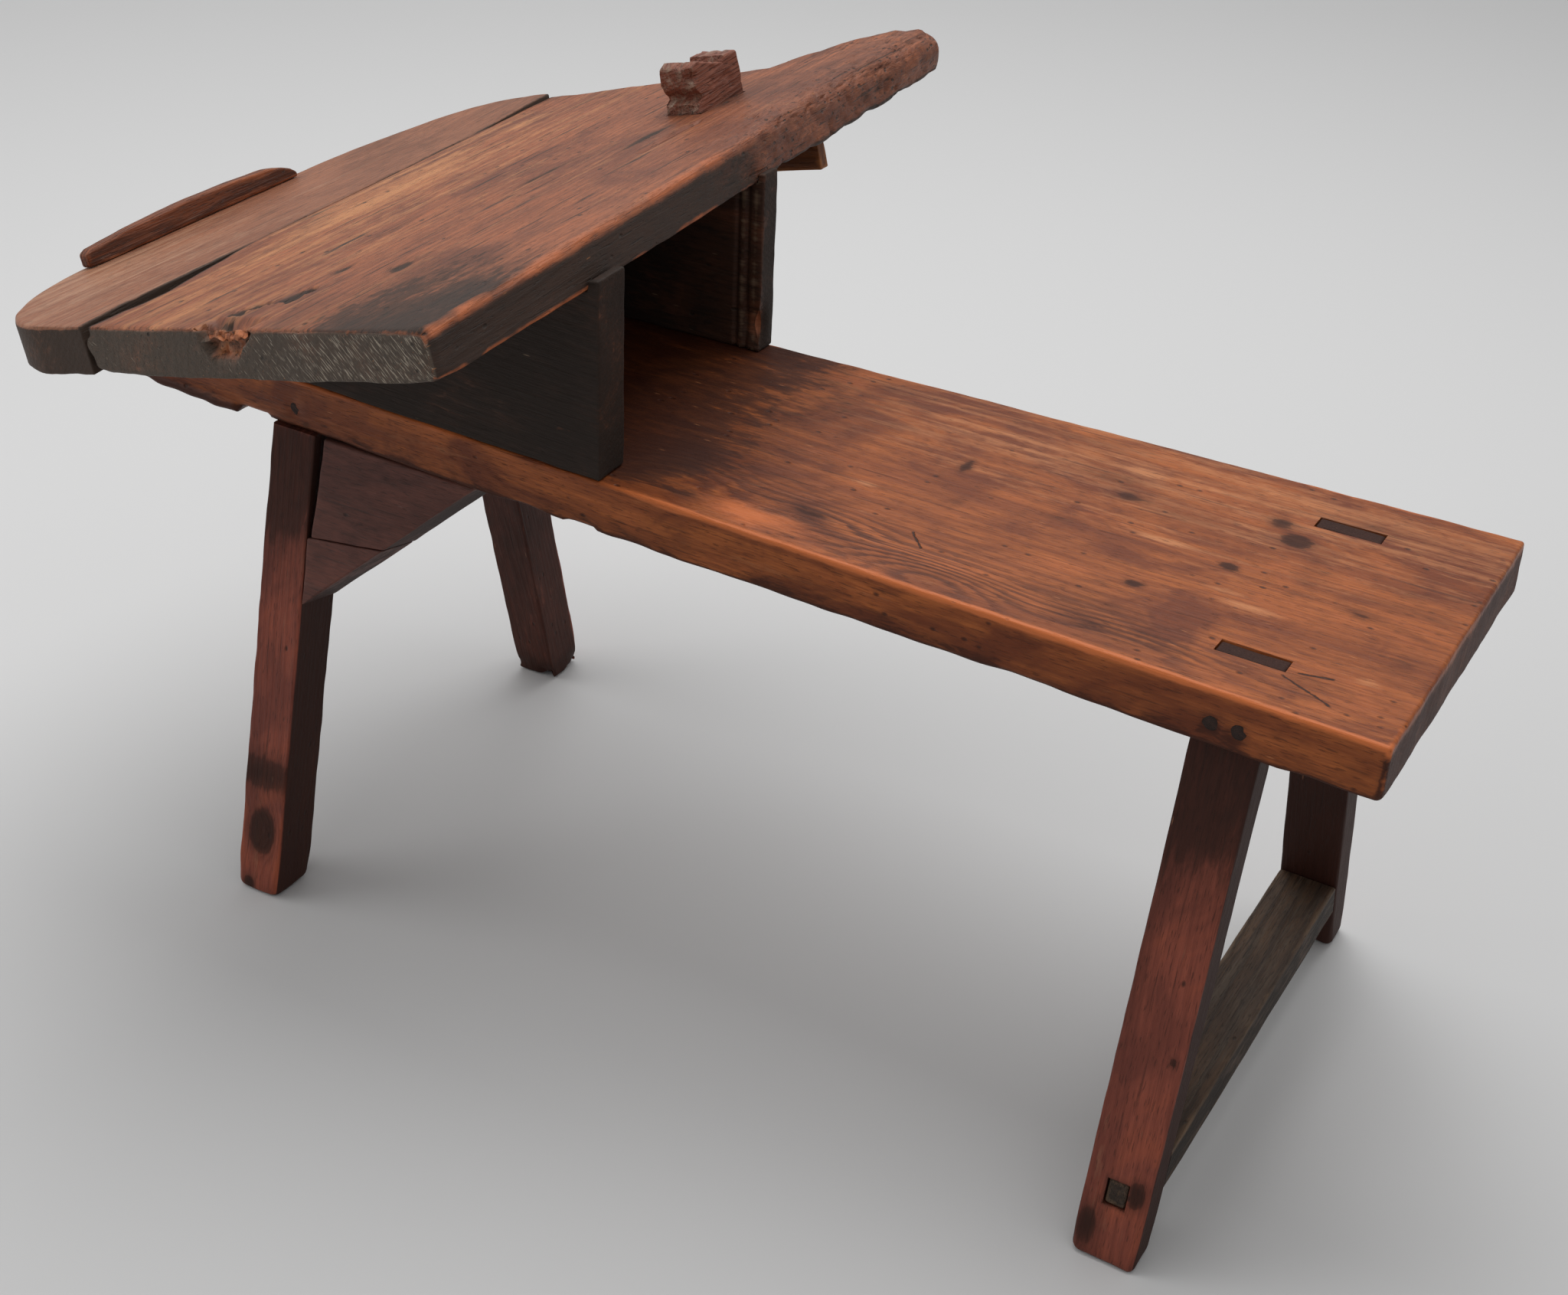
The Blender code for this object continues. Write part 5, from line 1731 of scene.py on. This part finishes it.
@dataclass
class Lip(WoodPiece):
    """The crowned strip on the low edge, blunt at the near end and run out at the far end."""

    start: float = -0.1785
    length: float = 0.2285
    outer: float = -0.4216
    thick: float = 0.01
    profile: Points = (
        (0.0, 0.0105), (0.006, 0.013), (0.034, 0.0148), (0.07, 0.0167), (0.113, 0.0175), (0.156, 0.0168),
        (0.192, 0.0148), (0.199, 0.0143), (0.212, 0.0118), (0.222, 0.0082), (0.2285, 0.004),
    )

    def height(self, share: Array) -> Array:
        """Height above the board at a share of the length."""
        return np.interp(share * self.length, *zip(*self.profile))

    def lines(self) -> Lines:
        """Lattice lines of the strip."""
        tallest = max(height for _, height in self.profile)
        return shares(self.length, 0.0022), shares(self.thick, 0.0014), shares(tallest, 0.0015)

    def size(self, unit: Array) -> Array:
        """Length, thickness, crowned height."""
        return columns(self.length, self.thick, self.height(unit[:, 0]))

    def place(self, unit: Array) -> Array:
        """v along, u across, w up from the board."""
        w = TOP_THICK + GAP + unit[:, 2] * self.height(unit[:, 0])
        return on_slope(self.outer + unit[:, 1] * self.thick, self.start + unit[:, 0] * self.length, w)


@dataclass
class Cleat(WoodPiece):
    """The thin board on edge under the far end of the wide board."""

    low_end: float = -0.249
    length: float = 0.19
    near_face: float = 0.259
    thick: float = 0.011
    depth: float = 0.034

    def lines(self) -> Lines:
        """Lattice lines of the board."""
        return shares(self.length, 0.003), shares(self.depth, 0.0025), shares(self.thick, 0.002)

    def size(self, unit: Array) -> Array:
        """Length, depth and thickness are the same all over."""
        return np.tile((self.length, self.depth, self.thick), (len(unit), 1))

    def place(self, unit: Array) -> Array:
        """u along, w down from the underside, v through."""
        w = -GAP - self.depth + unit[:, 1] * self.depth
        return on_slope(self.low_end + unit[:, 0] * self.length, self.near_face + unit[:, 2] * self.thick, w)


@dataclass
class BenchStop(WoodPiece):
    """The hooked block that slides in the wide board: a stem, a ledge, an undercut front and a broken top."""

    near_face: float = 0.183
    length: float = 0.066
    low_side: float = -0.143
    width: float = 0.032
    stem: float = 0.028
    front_height: float = 0.036
    ledge: float = 0.008
    hook: float = 0.016
    slope: float = 0.008
    undercut: float = 0.007
    top_places: tuple[float, ...] = (0.0, 0.008, 0.044, 0.046, 0.064, 0.066)
    top_heights: tuple[float, ...] = (0.036, 0.039, 0.029, 0.034, 0.034, 0.032)

    def lines(self) -> Lines:
        """Lattice lines: upwards, along v, and across u."""
        full = self.stem + TOP_THICK + max(self.top_heights)
        edges = [self.stem + TOP_THICK + level for level in (self.ledge, self.ledge + 0.002, 0.024, 0.026)]
        along = shares(self.length, 0.0018, self.top_places[2:4])
        return shares(full, 0.0022, edges), along, shares(self.width, 0.0018)

    def top(self, share: Array) -> Array:
        """Height of the top above the board at a share of the length."""
        return np.interp(share * self.length, self.top_places, self.top_heights)

    def size(self, unit: Array) -> Array:
        """Height to the broken top, length, width."""
        full = self.stem + TOP_THICK + self.top(unit[:, 1])
        return columns(full, self.length, self.width)

    def front(self, w: Array) -> Array:
        """How far the front stands back at a height above the board: an undercut below the hook."""
        hook = self.front_height - self.hook
        return self.undercut * smooth(w, self.ledge, self.ledge + 0.002) * smooth(w, hook, hook - self.slope)

    def place(self, unit: Array) -> Array:
        """w up to the broken top, v along behind the undercut front, u across."""
        w = -self.stem + unit[:, 0] * (self.stem + TOP_THICK + self.top(unit[:, 1]))
        front = self.front(w - TOP_THICK)
        v = self.near_face + front + unit[:, 1] * (self.length - front)
        return on_slope(self.low_side + unit[:, 2] * self.width, v, w)

    def grain(self, unit: Array, points: Array) -> Array:
        """Along v, across u, and up from the stem."""
        size = self.size(unit)
        return columns(unit[:, 1] * size[:, 1], unit[:, 2] * size[:, 2], unit[:, 0] * size[:, 0])

    def relief(self, spot: Spot) -> Array:
        """Broken, splintered wood above the board; the stem stays true to its mortise."""
        height = spot.grain[:, 2]
        above = smooth(height, self.stem + TOP_THICK + 0.001, self.stem + TOP_THICK + 0.006)
        splinters = noise(spot.grain, (0.03, 0.0045, 0.006), 83, 3)
        chips = spot.patchy(-0.25, 1.0, (0.012, 0.01, 0.01), 85)
        return above * np.minimum(0.001 * splinters - 0.0035 * chips, 0.0) - 0.0001

    def marks(self, spot: Spot) -> Marks:
        """Grey broken front and top; a dark foot, partly soiling and partly painted shade where the stop
        meets the board.
        """
        marks = super().marks(spot)
        v, _, height = spot.grain.T
        above = height - self.stem - TOP_THICK
        front = smooth(v, 0.006, 0.0)
        broken = spot.patchy(0.4, 0.8, (0.02, 0.005, 0.006), 87)
        bleach = np.maximum(front * (0.34 + 0.26 * broken), 0.7 * broken * spot.by_high(0, 0.003))
        marks["bleach"] = held(bleach)
        # The foot is darkened, partly soiling and partly painted shade where it meets the board
        marks["grime"] = held(self.soiled + 0.35 * smooth(above, 0.006, 0.0))
        return marks


@dataclass
class Pegs:
    """The pegs that pin the leg tenons, each a round rod with a domed, weathered end."""

    finish: Material
    turns: int = 32
    dome: float = 0.0006
    length: float = 0.014
    start: float = 0.0007

    def build(self, name: str, side: Side, x: float, seed: int) -> None:
        """Turn one peg: its profile is carried round the axis, and each end closes in a small disc.

        Args:
            name: CAD node that the peg stands for.
            side: Side of the bench.
            x: Place along the plank.
            seed: Picks its unevenness.
        """
        out = np.array((0.03, 0.35, 0.65, 0.86, 0.97, 1.0, 1.0, 0.98, 0.03))
        deep = np.array((*(0.0, 0.05, 0.2, 0.5, 1.1, 2.2, 10.0), *(self.length / self.dome,) * 2)) * self.dome
        angle = np.tile(np.linspace(0.0, 2 * math.pi, self.turns, endpoint=False), len(out))
        spread, depth = np.repeat(out, self.turns), np.repeat(deep, self.turns)
        flat = columns(np.cos(angle), np.sin(angle), depth)
        reach = PEG_RADIUS * spread * (1 + 0.05 * noise(flat + seed, (0.8, 0.8, 1.0), seed))
        y = plank_edge(x) - self.start - depth + 0.0002 * noise(flat * reach[:, None], (0.0015,) * 3, seed)
        grain = columns(depth, reach * flat[:, 0], reach * flat[:, 1])
        points = columns(x + grain[:, 1], side.value * y, PEG_HEIGHT + grain[:, 2])
        number = np.arange(len(points)).reshape(len(out), self.turns)
        side_quads = sheet_quads(np.concatenate((number, number[:, :1]), axis=1), False)
        quads = np.concatenate((side_quads, self.cap(number[0]), self.cap(number[-1][::-1])))
        quads = turned_out(points, quads)
        clean = np.zeros(len(points))
        marks = {"grain": grain, "figure": np.hypot(grain[:, 1] - 0.004, grain[:, 2] + 0.006),
                 "grime": 0.7 + 0.2 * smooth(spread, 0.8, 1.0), "wear": clean, "bleach": clean}
        put_piece(f"{name}_wood", points, quads, marks, self.finish, Body.BENCH)

    @staticmethod
    def cap(ring: Array) -> Array:
        """Close a small ring by strips of quads between its two halves."""
        half = len(ring) // 2
        left, right = ring[:half], ring[half:][::-1]
        return np.stack((left[1:], left[:-1], right[:-1], right[1:]), axis=1)


@dataclass
class Studio:
    """Pale floor, soft light and the camera of the photograph."""

    camera_place: tuple[float, float, float] = (0.7357, -1.3675, 1.167)
    camera_turn: tuple[float, float, float] = (2.0632, 0.5754, -0.2691)
    focal_pixels: float = 3037.0
    image_width: float = 2048.0
    sensor: float = 36.0
    floor_half: float = 14.0
    floor_grey: float = 0.62
    world_strength: float = 0.48

    def build(self) -> None:
        """Set up floor, light and camera."""
        bpy.context.scene.view_settings.view_transform = "Standard"
        self.floor()
        self.light()
        self.camera()

    def floor(self) -> None:
        """Lay a plain floor: one large square."""
        half = self.floor_half
        mesh = bpy.data.meshes.new("floor")
        mesh.from_pydata([(-half, -half, 0.0), (half, -half, 0.0), (half, half, 0.0), (-half, half, 0.0)], [],
                         [(0, 1, 2, 3)])
        graph = Graph("pale_floor")
        graph.dress(Base_Color=(self.floor_grey,) * 3, Roughness=0.9)
        mesh.materials.append(graph.material)
        item = link(bpy.data.objects.new("floor", mesh))
        item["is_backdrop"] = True

    def light(self) -> None:
        """Even sky with one large soft lamp overhead and a weaker one from the left."""
        world = bpy.data.worlds.new("studio")
        bpy.context.scene.world = world
        world.use_nodes = True
        sky = world.node_tree.nodes["Background"]
        sky.inputs["Color"].default_value = (1.0, 1.0, 1.0, 1.0)
        sky.inputs["Strength"].default_value = self.world_strength
        self.lamp("overhead", (-0.3, 0.8, 2.8), (0.0, 0.0, 0.4), 2.6, 56.0)
        self.lamp("left", (-2.6, -1.2, 1.9), (0.0, 0.0, 0.3), 1.8, 20.0)

    def lamp(self, name: str, place: Floats, target: Floats, size: float, power: float) -> None:
        """Hang one square lamp, turned towards a target."""
        data = bpy.data.lights.new(name, "AREA")
        data.shape = "SQUARE"
        data.size = size
        data.energy = power
        item = link(bpy.data.objects.new(name, data))
        back = np.asarray(place) - np.asarray(target)
        back = back / np.linalg.norm(back)
        right = np.cross((0.0, 1.0, 0.0), back)
        right = right / np.linalg.norm(right)
        item.matrix_world = self.pose(right, np.cross(back, right), back, place)

    @staticmethod
    def pose(right: Array, up: Array, back: Array, place: Floats) -> Matrix:
        """Matrix with these axes as columns, at a place."""
        matrix = np.eye(4)
        matrix[:3, :3] = np.stack((right, up, back), axis=1)
        matrix[:3, 3] = place
        return Matrix(matrix.tolist())

    def camera(self) -> None:
        """Put the camera where the photograph was taken, turned by a rotation vector from world to camera."""
        turn = np.array(self.camera_turn)
        angle = float(np.linalg.norm(turn))
        axis = turn / angle
        skew = np.array(((0.0, -axis[2], axis[1]), (axis[2], 0.0, -axis[0]), (-axis[1], axis[0], 0.0)))
        rows = np.eye(3) + math.sin(angle) * skew + (1 - math.cos(angle)) * skew @ skew
        data = bpy.data.cameras.new("camera")
        data.sensor_fit = "HORIZONTAL"
        data.sensor_width = self.sensor
        data.lens = self.focal_pixels / self.image_width * self.sensor
        item = link(bpy.data.objects.new("camera", data))
        item.matrix_world = self.pose(rows[0], -rows[1], -rows[2], self.camera_place)
        bpy.context.scene.camera = item


SEAT_FINISH = WoodFinish(
    "seat_wax", *tones("a65c2c 6c3217 683018 c86e3c be7c50 34170d"),
    gloss=0.2, ring_strength=0.45, ring_period=0.0095, blotch_strength=0.85, band_strength=0.6,
    fibre_strength=0.42, pit_share=0.45, patchiness=0.72, splits=SEAT_CRACKS)
WIDE_FINISH = WoodFinish(
    "wide_board_wax", *tones("9e5e3e 603422 6c3c2a b2633a bc8054 2a241f"),
    roughness=0.5, ring_period=0.006, ring_strength=0.4, blotch_strength=0.7, fibre_strength=0.5,
    crack_strength=0.75, relief=0.8, pit_share=0.35, patchiness=0.68, saw_marks=paint("9e9282"))
LOW_FINISH = WoodFinish(
    "low_board_wax", *tones("966248 704430 764a36 a46a4a a87e64 342c25"),
    roughness=0.5, ring_strength=0.35, pit_share=0.08)
LEG_FINISH = WoodFinish(
    "leg_wax", *tones("8d4a39 633025 613128 a85638 966850 29160f"),
    roughness=0.5, gloss=0.2, ring_strength=0.4, ring_period=0.004, blotch_strength=0.6, glow_strength=0.4,
    patchiness=0.38)
CLEAT_FINISH = WoodFinish(
    "cleat_brown", *tones("88522e 60361e 643a20 a46a3e 966846 2a1d15"),
    roughness=0.55)
BRACE_FINISH = WoodFinish(
    "brace_wax", *tones("6a3e34 4c2c24 502e28 7c4a3a 785a50 2c1f1b"),
    roughness=0.55, ring_strength=0.35)
RAIL_FINISH = WoodFinish(
    "rail_grey", *tones("624a37 322720 3e2f25 745c46 6a5c4e 261f1a"),
    roughness=0.62, ring_strength=0.8, ring_period=0.007, relief=1.0)
SUPPORT_FINISH = WoodFinish(
    "support_black", *tones("4e3224 362219 3a261c 965a3c 968068 241b15"),
    roughness=0.6, ring_strength=0.4)
LIP_FINISH = WoodFinish(
    "lip_dark", *tones("8e5032 3a2017 522e21 a05c38 826454 2a1f1a"),
    roughness=0.55, ring_strength=0.8, ring_period=0.0035, relief=1.0, pit_share=0.0)
STOP_FINISH = WoodFinish(
    "stop_brown", *tones("8a523f 62382b 643a2d 9e6850 a08a78 2e1f19"),
    roughness=0.55, ring_period=0.0035, relief=1.0)
PEG_FINISH = WoodFinish(
    "peg_dark", *tones("502f22 321e16 382219 643e2c 604a3c 221611"),
    roughness=0.55, ring_period=0.0015)
IRON_FINISH = IronFinish("nail_rust", paint("46403c"), paint("5c3422"))


@dataclass
class Bench:
    """The whole bench, built piece by piece."""

    nodes: dict[str, bpy.types.Object]

    def build_seat(self) -> None:
        """Plank, legs, rail, braces and pegs."""
        swirls = (
            Knot(-0.313, -0.118, 0.055, 0.02, 0.034), Knot(-0.418, -0.088, 0.048, 0.016, 0.02),
            Knot(-0.131, 0.06, 0.022, 0.012, 0.014), Knot(-0.52, -0.085, 0.05, 0.032, 0.03),
            Knot(-0.175, -0.12, 0.06, 0.018, 0.02),
        )
        rings = Rings(0.16, -0.09, 0.05, 0.008, 3, swirls)
        SeatPlank("seat_plank_wood", SEAT_FINISH.material(), Slot.SEAT, rings, radius=0.0024,
                  ragged=0.3, sway=0.0005, worn=0.7, seed=11).build()
        wax = LEG_FINISH.material()
        for number, side in enumerate(Side):
            rings = Rings(0.12, -0.15, 0.04, seed=21 + number)
            Leg(f"{side.label}_seat_leg_wood", wax, Slot.LEG, rings, side=side, pair=SEAT_LEGS,
                rail_mortise=True, foot_radius=0.004, worn=0.25, seed=21 + number).build()
            knots = (Knot(0.055, 0.003, 0.022, 0.014, 0.014),) if side is Side.NEAR else ()
            rings = Rings(0.1, -0.12, 0.04, seed=31 + number, knots=knots)
            Leg(f"{side.label}_work_leg_wood", wax, Slot.LEG, rings, side=side, pair=WORK_LEGS,
                foot_radius=0.005 - 0.003 * number, foot_chip=0.006 * number, shaded=0.85 - 0.22 * number,
                orange_foot=side is Side.NEAR, worn=0.25, soiled=0.05, seed=31 + number).build()
        rings = Rings(0.1, -0.09, 0.03, seed=41)
        Rail("seat_leg_stretcher_wood", RAIL_FINISH.material(), Slot.STRETCHER, rings, soiled=0.15,
             seed=41).build()
        braces = KneeBraces(BRACE_FINISH.material())
        pegs = Pegs(PEG_FINISH.material())
        for side in Side:
            braces.build(side)
            for number, x in enumerate(SEAT_PEGS, 1):
                pegs.build(f"{side.label}_seat_leg_peg_{number}", side, x, number)
            pegs.build(f"{side.label}_work_leg_peg_1", side, WORK_PEG, 5)

    def build_work_top(self) -> None:
        """Supports, boards, lip, cleat and stop."""
        black = SUPPORT_FINISH.material()
        Support("near_support_wood", black, Slot.SUPPORT, Rings(0.25, -0.1, 0.05, seed=55), side=Side.NEAR,
                worn=0.2, soiled=0.8, seed=55).build()
        Support("far_support_wood", black, Slot.SUPPORT, Rings(0.25, -0.1, 0.05, seed=57), side=Side.FAR,
                thick=0.02, front=-0.578, moulded=True, shoulder=0.0045, rise=0.0058, worn=0.3, soiled=0.75,
                seed=57).build()
        rings = Rings(0.1, -0.08, 0.06, 0.007, 61)
        WideBoard("wide_top_board_wood", WIDE_FINISH.material(), Slot.TOP, rings, radius=0.0036,
                  ragged=0.6, sway=0.0006, worn=0.8, seed=61).build()
        LowBoard("low_top_board_wood", LOW_FINISH.material(), Slot.TOP, Rings(-0.15, -0.12, 0.05, 0.005, 63),
                 radius=0.004, ragged=0.4, sway=0.0004, worn=0.5, seed=63).build()
        Lip("lip_wood", LIP_FINISH.material(), Slot.LEG, Rings(-0.47, -0.02, 0.02, 0.003, 65), radius=0.0018,
            ragged=0.7, sway=0.0005, soiled=0.2, seed=65).build()
        Cleat("cleat_wood", CLEAT_FINISH.material(), Slot.LEG, Rings(0.05, -0.05, 0.1, seed=67),
              radius=0.0015, soiled=0.2, seed=67).build()
        BenchStop("bench_stop_wood", STOP_FINISH.material(), Slot.TOP, Rings(0.05, -0.03, 0.1, 0.003, 69),
                  body=Body.STOP, ragged=0.8, worn=0.4, soiled=0.15, seed=69).build()

    def dress_nails(self) -> None:
        """Rust the nails, which stay as the frame has them."""
        rust = IRON_FINISH.material()
        for name, item in self.nodes.items():
            if "nail" in name:
                item.data.materials.clear()
                item.data.materials.append(rust)
                LOG.info("%s: rusted", name)


def corners(box: Sequence[Floats]) -> list[list[float]]:
    """Plain lists of a box's two corners."""
    return [[float(value) for value in corner] for corner in box]


def main() -> None:
    """Load the frame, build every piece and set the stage."""
    logging.basicConfig(level=logging.INFO, format="%(name)s: %(message)s")
    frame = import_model()
    cad_box = corners(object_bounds())
    bench = Bench(frame["nodes"])
    bench.build_seat()
    bench.build_work_top()
    bench.dress_nails()
    Studio().build()
    bpy.context.view_layer.update()
    {"cad": cad_box, "visual": corners(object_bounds())}


if __name__ == "__main__":
    main()
